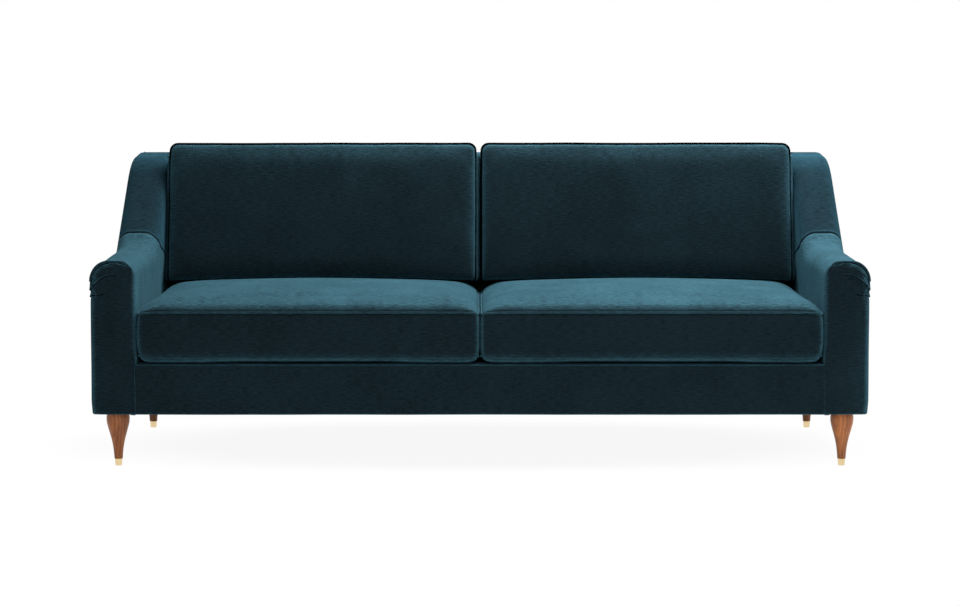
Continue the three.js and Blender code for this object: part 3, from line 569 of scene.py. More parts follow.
@dataclass(frozen=True)
class Lining(Finish):
    """Plain-woven or bonded cloth: a dull colour with a fine, even texture."""

    dark: str = "#17181a"
    light: str = "#26282b"
    thread: float = 0.0016  # drawn at twice the real spacing, so that it shows

    def paint(self, tree: Tree, shader: Node) -> None:
        """Threads over and under each other, with uneven fibres."""
        place = {"Vector": add(tree, "TexCoord").outputs["Object"]}
        look = {"Scale": WAVE_WIDTH / self.thread, "Distortion": 0.6, "Detail": 1.0}
        turns = [
            add(tree, "TexWave", look, place, wave_type="BANDS", bands_direction=way).outputs["Fac"]
            for way in ("X", "Y")
        ]
        weave = add(tree, "Math", links={0: turns[0], 1: turns[1]}, operation="MULTIPLY")
        fibres = add(tree, "TexNoise", {"Scale": 160.0, "Detail": 4.0}, place)
        share = weighed(tree, (weave.outputs[0], 0.6), (fibres.outputs[0], 1.0))
        spread = add(tree, "MapRange", {"From Min": 0.3, "From Max": 1.1}, {"Value": share})
        lay_colour(tree, shader, (self.dark, self.light), spread.outputs[0], share, (0.4, 0.0005))
        shader.inputs["Specular IOR Level"].default_value = 0.2


@dataclass(frozen=True)
class Wood(Finish):
    """Wood: early and late growth as bands along the grain, pores as fine dark strokes."""

    dark: str = "#5e240b"
    light: str = "#d3803f"
    band: float = 0.006  # width of a year's growth
    stroke: Pair = (0.0009, 0.03)  # width and length of a pore
    stretch: float = 0.09  # how drawn out the bands are along the grain
    weights: Triple = (0.16, 0.75, 0.6)  # of bands, cloudy tone and pores
    grain: Axis = Axis.ALONG_Z
    coat: float = 0.0

    def paint(self, tree: Tree, shader: Node) -> None:
        """Growth bands and pores along the grain."""
        place = {"Vector": add(tree, "TexCoord").outputs["Object"]}
        turned = {"Vector": add(tree, "Mapping", {"Rotation": self.grain.value}, place).outputs[0]}
        slow = {"Vector": add(tree, "Mapping", {"Scale": (1.0, 1.0, self.stretch)}, turned).outputs[0]}
        look = {"Scale": WAVE_WIDTH / self.band, "Distortion": 5.0, "Detail": 3.0, "Detail Scale": 1.4}
        bands = add(tree, "TexWave", look, slow, wave_type="BANDS", bands_direction="DIAGONAL")
        narrow, long = self.stroke
        strokes = {"Scale": (1 / narrow, 1 / narrow, 1 / long)}
        fine = {"Vector": add(tree, "Mapping", strokes, turned).outputs[0]}
        pores = add(tree, "TexNoise", {"Scale": 1.0, "Detail": 2.0}, fine).outputs[0]
        tone = add(tree, "TexNoise", {"Scale": 40.0, "Detail": 3.0}, slow)
        values = (bands.outputs["Fac"], tone.outputs[0], pores)
        mixed = weighed(tree, *zip(values, self.weights))
        share = add(tree, "MapRange", {"From Min": 0.45, "From Max": 1.0}, {"Value": mixed})
        lay_colour(tree, shader, (self.dark, self.light), share.outputs[0], pores, (0.12, 0.0004))
        shader.inputs["Coat Weight"].default_value = self.coat
        shader.inputs["Coat Roughness"].default_value = 0.25


@dataclass(frozen=True)
class Metal(Finish):
    """Bare metal: its own colour in its reflections, with fine marks from the tool."""

    tone: str = "#d9bd84"
    dull: str = "#b3935a"
    mark: float = 0.0006  # spacing of turning or drawing marks
    spread: float = 0.12  # how much the marks change the roughness

    def paint(self, tree: Tree, shader: Node) -> None:
        """Rings of fine marks and slight tarnish."""
        place = {"Vector": add(tree, "TexCoord").outputs["Object"]}
        rings = {"Vector": add(tree, "Mapping", {"Scale": (40.0, 40.0, 1 / self.mark)}, place).outputs[0]}
        marks = add(tree, "TexNoise", {"Scale": 1.0, "Detail": 2.0}, rings).outputs[0]
        stains = add(tree, "TexNoise", {"Scale": 90.0, "Detail": 3.0}, place)
        reach = {"To Min": self.roughness - self.spread / 2, "To Max": self.roughness + self.spread / 2}
        gloss = add(tree, "MapRange", reach, {"Value": marks})
        lay_colour(tree, shader, (self.tone, self.dull), stains.outputs[0], marks, (0.08, 0.0002))
        tree.links.new(gloss.outputs[0], shader.inputs["Roughness"])
        shader.inputs["Metallic"].default_value = 1.0


@dataclass(frozen=True)
class Webbing(Finish):
    """Elastic webbing: ribs along the strap."""

    dark: str = "#5b4d3c"
    light: str = "#8d7a60"
    rib: float = 0.0025

    def paint(self, tree: Tree, shader: Node) -> None:
        """Ribs that run along the strap's own UV map."""
        cloth = {"Vector": add(tree, "UVMap", uv_map="cloth").outputs[0]}
        look = {"Scale": WAVE_WIDTH / self.rib, "Distortion": 0.8, "Detail": 2.0, "Detail Scale": 3.0}
        wave = add(tree, "TexWave", look, cloth, wave_type="BANDS", bands_direction="X").outputs["Fac"]
        lay_colour(tree, shader, (self.dark, self.light), wave, wave, (0.5, 0.0008))


VELVET = Velvet("teal_cut_velvet", 0.85)
# A darker copy of the velvet for the wing, with less painted sheen: painted shade on the wing.
SHADED_WING_VELVET = Velvet("teal_velvet_painted_darker_for_the_wing", 0.85, painted_sheen="#2c5261", painted_sheen_turn=(0.2, 0.95))
# Near-black velvet without sheen, for cords laid where there is shade: painted shade.
SHADE_VELVET = Velvet(
    "teal_velvet_painted_shade", 0.85, pile="#030607", painted_sheen="#0c171c", painted_sheen_turn=(0.3, 1.0),
    sheen_weight=0.0, specular=0.0,
)
CAMBRIC = Lining("black_cambric", 0.9)
PLATFORM = Lining("platform_lining", 0.9, dark="#141617", light="#2a2d2f", thread=0.0022)
WALNUT = Wood("turned_walnut_satin", 0.45, coat=0.06)
BEECH = Wood("sawn_beech", 0.7, dark="#b08a5c", light="#d9bd92", band=0.011, grain=Axis.ALONG_X)
BRASS = Metal("spun_brass_satin", 0.3, tone="#ecd8ac", dull="#dcc08c")
ZINC = Metal("zinc_plated_steel", 0.38, tone="#b9bcc0", dull="#9da1a6")
SPRING = Metal("drawn_spring_wire", 0.42, tone="#8b8f94", dull="#6d7075")
STRAPS = Webbing("elastic_webbing", 0.85)


def finish_piece(
    piece: Piece,
    body: str,
    finish: Finish,
    replaces: Sequence[str] = (),
) -> Piece:
    """Gives a piece its finish and its body, and hides the CAD nodes that it stands for.

    Args:
        piece: The object, at the origin.
        body: The CAD body that it rides on.
        finish: Its finish.
        replaces: CAD nodes that it stands for.

    Returns:
        The same object.
    """
    piece.data.materials.clear()
    piece.data.materials.append(finish.material())
    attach(piece, body)
    if replaces:
        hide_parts(*replaces)
    LOG.info("%s: %d faces on %s", piece.name, len(piece.data.polygons), body)
    return piece


def sew_cover(
    nodes: Sequence[str],
    grid: Array,
    out: Triple,
    relief: Callable[[Array], Array],
    thickness: float,
    finish: Finish = VELVET,
) -> None:
    """Makes a fixed cover on the frame: drawn as a grid, turned outwards, stuffed, thickened and finished.

    Args:
        nodes: CAD nodes that it stands for. It is named for the first.
        grid: Rows of points.
        out: Which way its outer side faces.
        relief: Gives how far each point stands out, from all the points.
        thickness: Of its cloth.
        finish: Its finish.
    """
    piece = cloth_grid(f"{nodes[0]}.cover", grid)
    clean(piece)
    if sum(p.normal.dot(out) * p.area for p in piece.data.polygons) < 0:
        piece.data.flip_normals()
    points = coordinates(piece)
    place_points(piece, points + normals(piece) * relief(points)[:, None])
    thicken(piece, thickness)
    clean(piece)
    smooth(piece)
    lay_cloth(piece)
    finish_piece(piece, "frame", finish, nodes)


# Studio


def stand(name: str, data: bpy.types.ID, place: Sequence[float], turn: Sequence[float]) -> Piece:
    """Puts a camera or a lamp in the scene."""
    made = bpy.data.objects.new(name, data)
    made.location = place
    made.rotation_euler = Euler(turn)
    bpy.context.scene.collection.objects.link(made)
    return made


def seen_rays(tree: Tree) -> Socket:
    """1 for what the camera sees straight, in gloss or through glass, and 0 for the light on the sofa."""
    path = add(tree, "LightPath").outputs
    seen = path["Is Camera Ray"]
    for kind in ("Is Glossy Ray", "Is Transmission Ray"):
        seen = add(tree, "Math", links={0: seen, 1: path[kind]}, operation="MAXIMUM").outputs[0]
    return seen


@dataclass(frozen=True)
class Lamp:
    """A large rectangular soft light. Unturned it shines straight down."""

    name: str
    place: Triple
    turn: Triple
    extent: Pair
    power: float  # in watts

    def build(self) -> None:
        """Puts the light in the scene."""
        data = bpy.data.lights.new(self.name, "AREA")
        data.shape = "RECTANGLE"
        data.size, data.size_y = self.extent
        data.energy = self.power
        stand(self.name, data, self.place, self.turn)


@dataclass
class Studio:
    """Camera, soft lights and a pale floor."""

    camera_place: Triple = (0.0, -7.621, 1.119)
    tilt: float = math.radians(5.19)
    lens: float = 95.78
    sensor: float = 36.0
    floor_size: float = 60.0
    floor_glow: float = 0.92
    shade_depth: float = 0.52  # how far in front of the middle the floor still shows a shadow
    shade_edge: Pair = (0.7, 1.3)  # where that shadow begins to fade, and is gone
    world_light: float = 0.092
    lamps: tuple[Lamp, ...] = (
        Lamp("overhead", (1.05, -0.1, 3.4), (0.0, 0.0, 0.0), (3.0, 2.6), 180.0),
        Lamp("front", (0.3, -6.4, 2.6), (math.radians(70.0), 0.0, 0.0), (3.2, 2.2), 58.0),
        Lamp("right", (3.8, -1.0, 2.3), (0.0, math.radians(62.0), 0.0), (1.6, 2.4), 12.0),
    )

    def build(self) -> None:
        """Sets up the whole studio."""
        self.add_camera()
        self.add_world()
        for lamp in self.lamps:
            lamp.build()
        self.add_floor()
        bpy.context.scene.view_settings.view_transform = "Standard"

    def add_camera(self) -> None:
        """The camera at the photograph's viewing angle."""
        data = bpy.data.cameras.new("camera")
        data.lens = self.lens
        data.sensor_fit = "HORIZONTAL"
        data.sensor_width = self.sensor
        turn = (math.pi / 2 - self.tilt, 0.0, 0.0)
        bpy.context.scene.camera = stand("camera", data, self.camera_place, turn)

    def add_world(self) -> None:
        """White where the camera looks, and an even soft light for the rest."""
        world = bpy.data.worlds.new("studio")
        bpy.context.scene.world = world
        tree = blank_tree(world)
        soft = add(tree, "Background", {"Color": linear("#ffffff"), "Strength": self.world_light})
        white = add(tree, "Background", {"Color": linear("#ffffff"), "Strength": 1.0})
        mixed = add(tree, "MixShader", links={0: seen_rays(tree), 1: soft.outputs[0], 2: white.outputs[0]})
        add(tree, "OutputWorld", links={"Surface": mixed.outputs[0]})

    def add_floor(self) -> None:
        """A pale floor that keeps a faint shadow under the sofa and is white further off."""
        deselect()
        bpy.ops.mesh.primitive_grid_add(x_subdivisions=4, y_subdivisions=4, size=self.floor_size)
        floor = settle(bpy.context.active_object, "floor")
        made = bpy.data.materials.new("pale_floor")
        tree = blank_tree(made)
        place = add(tree, "TexCoord").outputs["Object"]
        stretch = {"Scale": (1 / SOFA.half_width, 1 / self.shade_depth, 1.0)}
        under = add(tree, "Mapping", stretch, {"Vector": place})
        reach = add(tree, "VectorMath", links={0: under.outputs[0]}, operation="LENGTH").outputs["Value"]
        start, end = self.shade_edge
        fade = {"From Min": start, "From Max": end, "To Min": self.floor_glow, "To Max": 1.0}
        far = add(tree, "MapRange", fade, {"Value": reach}, interpolation_type="SMOOTHSTEP")
        share = add(tree, "Math", links={0: seen_rays(tree), 1: far.outputs[0]}, operation="MULTIPLY")
        matt = add(tree, "BsdfDiffuse", {"Color": linear("#f4f4f4")})
        glow = add(tree, "Emission", {"Color": linear("#ffffff"), "Strength": 1.0})
        mixed = add(tree, "MixShader", links={0: share.outputs[0], 1: matt.outputs[0], 2: glow.outputs[0]})
        add(tree, "OutputMaterial", links={"Surface": mixed.outputs[0]})
        floor.data.materials.append(made)


# Loose cushions


STUFFING: Settings = {  # how a velvet cover behaves in Blender's cloth simulation
    "quality": 4,
    "mass": 0.3,
    "tension_stiffness": 12.0,
    "compression_stiffness": 12.0,
    "shear_stiffness": 4.0,
    "bending_stiffness": 0.6,
    "shrink_min": -0.02,
    "use_pressure": True,
}
BLOWN: dict[tuple[str, int], Array] = {}  # how far the filling pushed each cut of cushion


@dataclass
class BoxedCushion:
    """A loose cushion, boxed between two welts, in its own axes: X across, Z through its thickness."""

    kind: str
    side: Side
    width: float
    depth: float
    boxing: float
    place: Matrix
    corner: Pair  # radius at the front or foot, and at the rear or top
    bulge: Triple  # how far the boxing swells: outer side, side of its neighbour, ends
    draw_in: float
    crown: Pair  # height of the upper and the lower panel
    edge_above: Pair  # how square the upper crown is, across and along
    edge_below: Pair
    roundness: float  # below 1 the panels leave their welts steeply
    dome: Pair  # share of the upper and the lower crown that is a shallow dome
    pinch: Pair  # how far the upper and lower welts close up at the corners
    rise: Triple  # how far the filling may push: above, below, beside
    fill: float
    # Finish of the welts; the back cushions' near-black one is painted shade.
    cord: Finish
    settled: float = 0.0  # how far the foot sinks at its front, where it is flattened to lie level
    flatten: float = 0.0  # slope of that foot in the cushion's own axes
    arch: float = 0.0  # how far its middle is pressed up by what it stands on
    fullness: float = 1.0  # below 1 the boxing swells out close to its welts
    taper: float = 0.001  # share of the sides, from the rear or top, along which their swelling dies out
    pinch_reach: float = 0.016
    near_corner: int = 9  # power that keeps the swelling of the sides close to them
    sway: Pair = (0.0018, 0.16)  # unevenness of the front and rear, and its length
    side_sway: Pair = (0.0008, 0.15)
    welt: float = 0.0025
    stitch: float = 0.006  # distance of the points along a welt
    seam_hold: float = 0.009  # how far from a seam it holds the cloth back
    gathers: Triple = (0.0011, 0.017, 0.013)  # their height, spacing and reach
    groove: Pair = (0.0021, 0.0035)  # depth and width of the groove beside a welt
    voxel: float = 0.0075
    pressure: float = 4.0
    frames: int = 20
    softening: int = 24  # rounds that even out the small creases of the simulation

    @property
    def body(self) -> str:
        """The CAD body that the cushion belongs to."""
        return f"{self.kind}_{self.side.value}"

    def build(self) -> None:
        """Makes the cover with its filling, and the welts."""
        cover = self.blank()
        place_points(cover, self.shape(coordinates(cover)))
        self.inflate(cover)
        modifier(cover, "SUBSURF", levels=1, render_levels=1)
        apply_all(cover)
        place_points(cover, self.relax(coordinates(cover)))
        seams = [self.relax(self.seam(1.0)), self.relax(self.seam(-1.0))]
        self.pucker(cover, seams)
        lay_cloth(cover)
        self.put(cover)
        smooth(cover, math.radians(70.0))
        nodes = [f"{self.kind}_{part}_{self.side.value}" for part in ("cushion", "core")]
        finish_piece(cover, self.body, VELVET, nodes)
        for level, seam in (("upper", seams[0]), ("lower", seams[1])):
            piece = tube(f"{self.kind}_welt_{level}_{self.side.value}", seam, self.welt, closed=True)
            lay_cloth(piece)
            self.put(piece)
            finish_piece(piece, self.body, self.cord)

    def put(self, piece: Piece) -> None:
        """Takes a piece from the cushion's own axes to its place on the sofa."""
        piece.matrix_world = self.place
        settle(piece, piece.name)

    @property
    def half(self) -> Array:
        """Half the cushion's size between its welts."""
        return np.array([self.width / 2 - self.welt, self.depth / 2 - self.welt, self.boxing / 2])

    def blank(self) -> Piece:
        """A block with rounded upright edges, drawn in even small faces."""
        deselect()
        bpy.ops.mesh.primitive_cube_add(size=1.0, scale=2 * self.half)
        piece = settle(bpy.context.active_object, f"{self.kind}_cushion_{self.side.value}.cover")
        for end, radius in enumerate(self.corner):

            def work(edit: bmesh.types.BMesh, end: int = end, radius: float = radius) -> None:
                """Rounds the two upright edges at one end."""
                for edge in edit.edges:
                    a, b = (v.co for v in edge.verts)
                    upright = abs(a.z - b.z) > self.boxing / 2
                    at_corner = abs(a.x) > self.half[0] - 1e-4 and abs(a.y) > self.half[1] - 1e-4
                    edge.select_set(bool(upright and at_corner and (a.y > 0) == bool(end)))
                bpy.ops.mesh.select_mode(type="EDGE")
                bpy.ops.mesh.bevel(offset=radius, segments=8, affect="EDGES")

            in_edit_mode(piece, work)
        modifier(piece, "REMESH", mode="VOXEL", voxel_size=self.voxel, use_smooth_shade=True)
        return apply_all(piece)

    def swell(self, u: Array, v: Array, power: Pair, dome: float) -> Array:
        """How far the crown stands at a place of the panel, as a share of its height."""
        square = (1 - np.abs(u) ** power[0]) * (1 - np.abs(v) ** power[1])
        return dome * (1 - u * u) * (1 - v * v) + (1 - dome) * square**self.roundness

    def squared(self, points: Array) -> tuple[Array, Array]:
        """Where points lie across and along the panel, from -1 to 1, as if its corners were square."""
        size, at = self.half[:2], np.abs(points[:, :2])
        radius = np.where(points[:, 1] < 0, *self.corner)[:, None]
        past = np.clip(at - (size - radius), 0, None)
        scale = np.linalg.norm(past, axis=1) / np.maximum(past.max(1), 1e-9)
        in_corner = past.min(1) > 0
        share = (at + past * np.where(in_corner, scale - 1, 0)[:, None]) / size
        u, v = (np.sign(points[:, :2]) * np.clip(share, 0, 1)).T
        return u, v

    def shape(self, points: Array) -> Array:
        """Crowns the panels, closes the corners, bulges the boxing and levels the foot.

        Args:
            points: Points of the block, or of its seams.

        Returns:
            Where the cushion has them.
        """
        u, v = self.squared(points)
        q = np.clip(points[:, 2] / self.half[2], -1, 1)
        moved = points.copy()
        above = self.crown[0] * self.swell(u, v, self.edge_above, self.dome[0])
        below = self.crown[1] * self.swell(u, v, self.edge_below, self.dome[1])
        moved[:, 2] += np.where(q > 0, above, -below) * q * q
        to_corner = (1 - np.abs(u)) * self.half[0] + (1 - np.abs(v)) * self.half[1]
        moved[:, 2] -= q * np.where(q > 0, *self.pinch) * np.exp(-to_corner / self.pinch_reach)
        puff = (1 - q * q) ** self.fullness * ramp(1 - v, 0, self.taper)
        beside = np.where(u * self.side.sign > 0, self.bulge[0], self.bulge[1])
        across, along = (np.sign(w) * np.abs(w) ** self.near_corner for w in (u, v))
        moved[:, 0] += across * (beside * puff - self.draw_in * (1 - v * v))
        moved[:, 1] += along * (self.bulge[2] * puff - self.draw_in * (1 - u * u))
        foot = np.clip(-v - 0.5, 0, None) * 2
        level = np.clip(self.half[2] - points[:, 2], 0, None) * self.flatten - self.settled
        moved[:, 1] += foot**2 * (level + self.arch * (1 - u * u))
        return moved

    def relax(self, points: Array) -> Array:
        """The slight unevenness of a stuffed cushion, the same for its cover and welts."""
        seed = (3.0 if self.side is Side.LEFT else 11.0) + len(self.kind)
        moved = points.copy()
        moved[:, 1] += self.sway[0] * ripple(points * [1.0, 0.0, 0.4], self.sway[1], seed)
        moved[:, 0] += self.side_sway[0] * ripple(points * [0.0, 1.0, 0.4], self.side_sway[1], seed + 5.0)
        return moved

    def seam(self, level: float) -> Array:
        """The line of a welt.

        Args:
            level: 1 for the upper welt, -1 for the lower one.

        Returns:
            Points round the cushion, evenly spaced.
        """
        a, b, c = self.half
        low, high = self.corner
        outline: list[Pair] = []
        for quarter, (x, y, r) in enumerate(((1, 1, high), (-1, 1, high), (-1, -1, low), (1, -1, low))):
            start = quarter * math.pi / 2
            outline += arc((x * (a - r), y * (b - r)), r, start, start + math.pi / 2, 13)
        line = spaced(np.array(outline + outline[:1]), step=self.stitch)[:-1]
        flat = np.c_[line, np.full(len(line), level * c)]
        shaped = self.shape(flat)
        u, v = self.squared(flat)
        end, power = (0, self.edge_above) if level > 0 else (1, self.edge_below)
        shaped[:, 2] -= level * self.crown[end] * self.swell(u, v, power, self.dome[end])
        return shaped

    def inflate(self, piece: Piece) -> None:
        """Blows the cover up with a cloth simulation held at its seams, and keeps a part of the rise."""
        before = coordinates(piece)
        key = (self.kind, len(before))
        if key in BLOWN:
            place_points(piece, before + BLOWN[key])
            return
        away, _ = nearest(before, np.concatenate([self.seam(1.0), self.seam(-1.0)]))
        held = piece.vertex_groups.new(name="seams")
        for i in np.flatnonzero(away < 0.012):
            held.add([int(i)], float(np.clip(1.4 - away[i] / self.seam_hold, 0, 1)), "REPLACE")
        cloth = piece.modifiers.new("cloth", "CLOTH")
        for key_name, value in STUFFING.items():
            setattr(cloth.settings, key_name, value)
        cloth.settings.uniform_pressure_force = self.pressure
        cloth.settings.vertex_group_mass = held.name
        cloth.settings.effector_weights.gravity = 0.0
        cloth.point_cache.frame_start = 1
        cloth.point_cache.frame_end = self.frames
        for frame in range(1, self.frames + 1):
            bpy.context.scene.frame_set(frame)
        apply_all(piece)
        bpy.context.scene.frame_set(1)
        piece.vertex_groups.clear()
        moved = spread_out(piece, coordinates(piece) - before, self.softening)
        moved *= (1 - bell(away, self.seam_hold))[:, None]
        limit = np.where(moved[:, 2] > 0, self.rise[0], self.rise[1])
        lift = np.abs(moved[:, 2])
        moved[:, 2] *= (limit * np.tanh(lift / limit)) / np.maximum(lift, 1e-9)
        aside = np.linalg.norm(moved[:, :2], axis=1)
        moved[:, :2] *= (self.rise[2] * np.tanh(aside / self.rise[2]) / np.maximum(aside, 1e-9))[:, None]
        BLOWN[key] = moved
        place_points(piece, before + moved)

    def pucker(self, piece: Piece, seams: Sequence[Array]) -> None:
        """Gathers the cloth slightly along its seams, and sinks it beside the welts."""
        points, outward = coordinates(piece), normals(piece)
        height, spacing, reach = self.gathers
        depth, width = self.groove
        for number, seam in enumerate(seams):
            close = np.flatnonzero(np.abs(points[:, 2] - seam[:, 2].mean()) < 0.06)
            away, at = nearest(points[close], seam)
            within = away < 0.04
            near, away, at = close[within], away[within], at[within]
            along = np.stack([at * self.stitch, at * 0.0, np.full(len(at), float(number))], 1)
            wave = height * ripple(along, spacing, 2.0) * np.exp(-away / reach) * ramp(away, 0, 0.004)
            points[near] += outward[near] * (wave - depth * bell(away, width))[:, None]
        place_points(piece, points)


def seat_cushion(side: Side) -> BoxedCushion:
    """A seat cushion: it lies on the deck and touches its neighbour."""
    boxing, foot = 0.128, 0.314
    gap, beside, overhang, behind = 0.00075, 0.0028, 0.002, 0.004  # to its neighbour, arm, front and back
    width = SOFA.inner - beside - gap
    depth = SOFA.inside_y(foot) - behind + overhang
    middle = (side.sign * (gap + width / 2), ARM_FRONT_Y - overhang + depth / 2, foot + boxing / 2)
    return BoxedCushion(
        kind="seat", side=side, width=width, depth=depth, boxing=boxing, place=Matrix.Translation(middle),
        corner=(0.013, 0.022), bulge=(0.0044, 0.0014, 0.0015), draw_in=0.0006, crown=(0.0555, 0.0172),
        edge_above=(15.0, 15.0), edge_below=(46.0, 40.0), roundness=0.65, dome=(0.445, 0.04),
        pinch=(0.005, 0.009), rise=(0.006, 0.0008, 0.0015), fill=0.85, cord=VELVET,
    )


def back_cushion(side: Side) -> BoxedCushion:
    """A back cushion: it stands on the seat and leans on the tight back."""
    boxing, height, foot = 0.142, 0.421, 0.4915
    inner, swell = 0.0008, 0.0006
    if side is Side.LEFT:
        inner, swell = 0.0101, 0.0125  # the left one is drawn in, and swells against the right one
    beside, gap = 0.016, 0.00155  # room for its side to swell, and its distance from the tight back
    width = SOFA.inner - beside - inner
    lean = SOFA.back_rake
    middle_z = foot - (boxing / 2) * math.sin(lean) + (height / 2) * math.cos(lean)
    stand_off = boxing / 2 + 0.008 + gap  # with room for its lower crown
    middle = (side.sign * (inner + width / 2), ARM_FRONT_Y + SOFA.inside_y(middle_z, -stand_off), middle_z)
    return BoxedCushion(
        kind="back", side=side, width=width, depth=height, boxing=boxing,
        place=Matrix.Translation(middle) @ Matrix.Rotation(math.pi / 2 - lean, 4, "X"),
        corner=(0.009, 0.023), bulge=(0.0150, swell, 0.004), draw_in=0.0005, crown=(0.0165, 0.007),
        edge_above=(50.0, 11.0), edge_below=(20.0, 11.0), roundness=0.62, dome=(0.3, 0.3), pinch=(0.0, 0.0),
        # Near-black welts: painted shade along the cushion's edges.
        rise=(0.007, 0.001, 0.0004), fill=0.7, cord=SHADE_VELVET, settled=0.0140, flatten=math.tan(lean),
        arch=0.0095, fullness=0.5, taper=0.3, welt=0.003,
    )


# Arms and wings


@dataclass(frozen=True)
class Pleat:
    """A fold on the arm's front, by its line of X and Z from the outer edge inwards."""

    knots: tuple[Pair, ...]
    height: float
    reach: float  # how far above the line the fold still stands out
    full: float  # share of the line along which it keeps its height

    def line(self) -> tuple[Array, Array]:
        """Points along the fold, evenly spaced and smooth, with its strength at each."""
        share = np.linspace(0, 1, FOLD_POINTS)
        dense = spaced(np.array(self.knots), FOLD_POINTS)
        smoothed = even_out(dense, FOLD_POINTS // 20, mode="reflect", reflect_type="odd")
        return smoothed, 1 - ramp(share, self.full, 1 - self.full) ** 1.3


@dataclass
class SlopedArm:
    """One arm and the wing behind its seam, as skins over padding. X is positive until they are placed."""

    side: Side
    height: float = 0.585
    rise: float = 0.012
    sweep_start: float = 0.41
    sweep_end: float = 0.85
    lower_radius: float = 0.12
    upper_radius: float = 0.218
    top_rise: float = 0.008
    outer_round: float = 0.046
    inner_round: float = 0.045
    wing_outer_round: float = 0.018
    wing_inner_round: float = 0.027
    tuck: float = 0.0115
    tuck_foot: float = 0.496
    seam: float = 0.503
    seam_slant: float = 6.6  # how fast the seam runs back as it drops on the inner side
    seam_reach: float = 0.19
    seam_gap: float = 0.004  # from the seam to where each cover begins to turn in
    straight: float = 0.1  # length at the front along which the rows stand upright
    front_roll: float = 0.02
    lip: float = 0.004
    cord: float = 0.0017  # radius of the near-black cord of painted shade in the sewn edge at the top of the arm's front
    cord_sunk: float = 0.0016
    cord_foot: float = 0.52
    cord_start: float = 0.03
    side_puff: float = 0.0038
    inner_puff: float = 0.0055
    hem_roll: float = 0.005
    side_rows: tuple[int, int] = (34, 62)
    round_rows: int = 56
    top_rows: int = 4
    panel_puff: float = 0.003
    seam_turn: Pair = (0.0034, 0.0046)  # depth and reach of a cover's edge at the seam
    seam_tuck: Pair = (0.010, 0.0062)  # and of the cloth tucked in behind it
    rear_turn: float = 0.005
    stitched: Pair = (0.0065, 0.0019)  # depth and width of the groove at the sewn edge
    swell_behind: Pair = (0.0046, 0.03)  # height and reach of the cloth behind that edge
    swell_before: Pair = (0.0018, 0.009)
    brow: Triple = (0.0085, 0.010, 0.032)  # roll below that edge: height, start and end
    waviness: Pair = (0.0008, 0.11)  # unevenness of the padding, and its length
    gathers: Triple = (0.0007, 0.016, 0.012)  # at the seam: height, spacing and reach
    pleats: tuple[Pleat, ...] = (
        Pleat(
            ((1.0990, 0.5000), (1.0896, 0.5146), (1.0812, 0.5270), (1.0700, 0.5380), (1.0587, 0.5450),
             (1.0450, 0.5495), (1.0300, 0.5512), (1.0138, 0.5500)),
            0.0046, 0.010, 0.4,
        ),
        Pleat(((1.0990, 0.4850), (1.0850, 0.4915), (1.0680, 0.4955), (1.0531, 0.4965)), 0.0030, 0.007, 0.1),
        Pleat(((1.0990, 0.5290), (1.0880, 0.5420), (1.0740, 0.5520), (1.0560, 0.5585)), 0.0022, 0.006, 0.2),
    )

    def build(self) -> None:
        """Makes the arm's cover with its pleats, the wing's, and a near-black cord of painted shade at the
        top of the arm's front.
        """
        end = self.side.value
        self.dress(self.arm_cover(), VELVET, [f"arm_cover_{end}", f"arm_padding_{end}"])
        self.dress(self.wing_cover(), SHADED_WING_VELVET, [f"wing_cover_{end}"])
        self.front_shade_cord()

    def dress(self, piece: Piece, finish: Finish, nodes: list[str]) -> None:
        """Turns a finished skin to its side, and gives it its velvet."""
        points = coordinates(piece)
        points[:, 1] += ARM_FRONT_Y
        points[:, 0] *= self.side.sign
        place_points(piece, points)
        clean(piece)
        smooth(piece, math.radians(60.0))
        lay_cloth(piece)
        finish_piece(piece, "frame", finish, nodes)

    def front_edge(self) -> tuple[Array, Array]:
        """The section at the very front of the arm, with its outward directions."""
        edge, outward = self.skin(np.zeros(1), np.zeros(1))
        return edge[:, 0], outward[:, 0]

    def lay_shade_cord(self, name: str, line: Array, radius: float, sides: int = 4) -> None:
        """Lays a near-black cord of painted shade along a line of the arm, on the arm's own side."""
        placed = line * [self.side.sign, 1.0, 1.0] + [0.0, ARM_FRONT_Y, 0.0]
        piece = tube(f"{name}_{self.side.value}", placed, radius, closed=False, sides=sides)
        lay_cloth(piece)
        finish_piece(piece, "frame", SHADE_VELVET)

    def front_shade_cord(self) -> None:
        """A near-black cord of painted shade in the sewn edge round the top of the arm's front, sunk between
        its two cloths.
        """
        edge, outward = self.front_edge()
        line = (edge - outward * (self.lip + self.cord_sunk))[edge[:, 2] > self.cord_foot]
        line = line[line[:, 0] > SOFA.inner + self.cord_start]
        line[:, 1] = self.cord_sunk
        self.lay_shade_cord("arm_seam_painted_shade", line, self.cord)

    def crown(self, y: Array) -> Array:
        """Height of the arm's top line at distances from the arm front."""
        low, high = self.height + self.rise, SOFA.back_top - self.top_rise
        run, climb = self.sweep_end - self.sweep_start, high - low
        radii = self.lower_radius + self.upper_radius
        rise = climb - radii
        slope = math.atan2(rise, run) + math.asin(radii / math.hypot(run, rise))
        turn = np.linspace(0, slope, 24)
        lower_y = self.sweep_start + self.lower_radius * np.sin(turn)
        lower_z = low + self.lower_radius * (1 - np.cos(turn))
        upper_y = self.sweep_end - self.upper_radius * np.sin(turn[::-1])
        upper_z = high - self.upper_radius * (1 - np.cos(turn[::-1]))
        tail = SOFA.base_depth + SOFA.lean
        line_y = np.concatenate([[0.0], lower_y, upper_y, [tail]])
        line_z = np.concatenate([[self.height], lower_z, upper_z, [SOFA.back_top]])
        return np.interp(y, line_y, line_z)

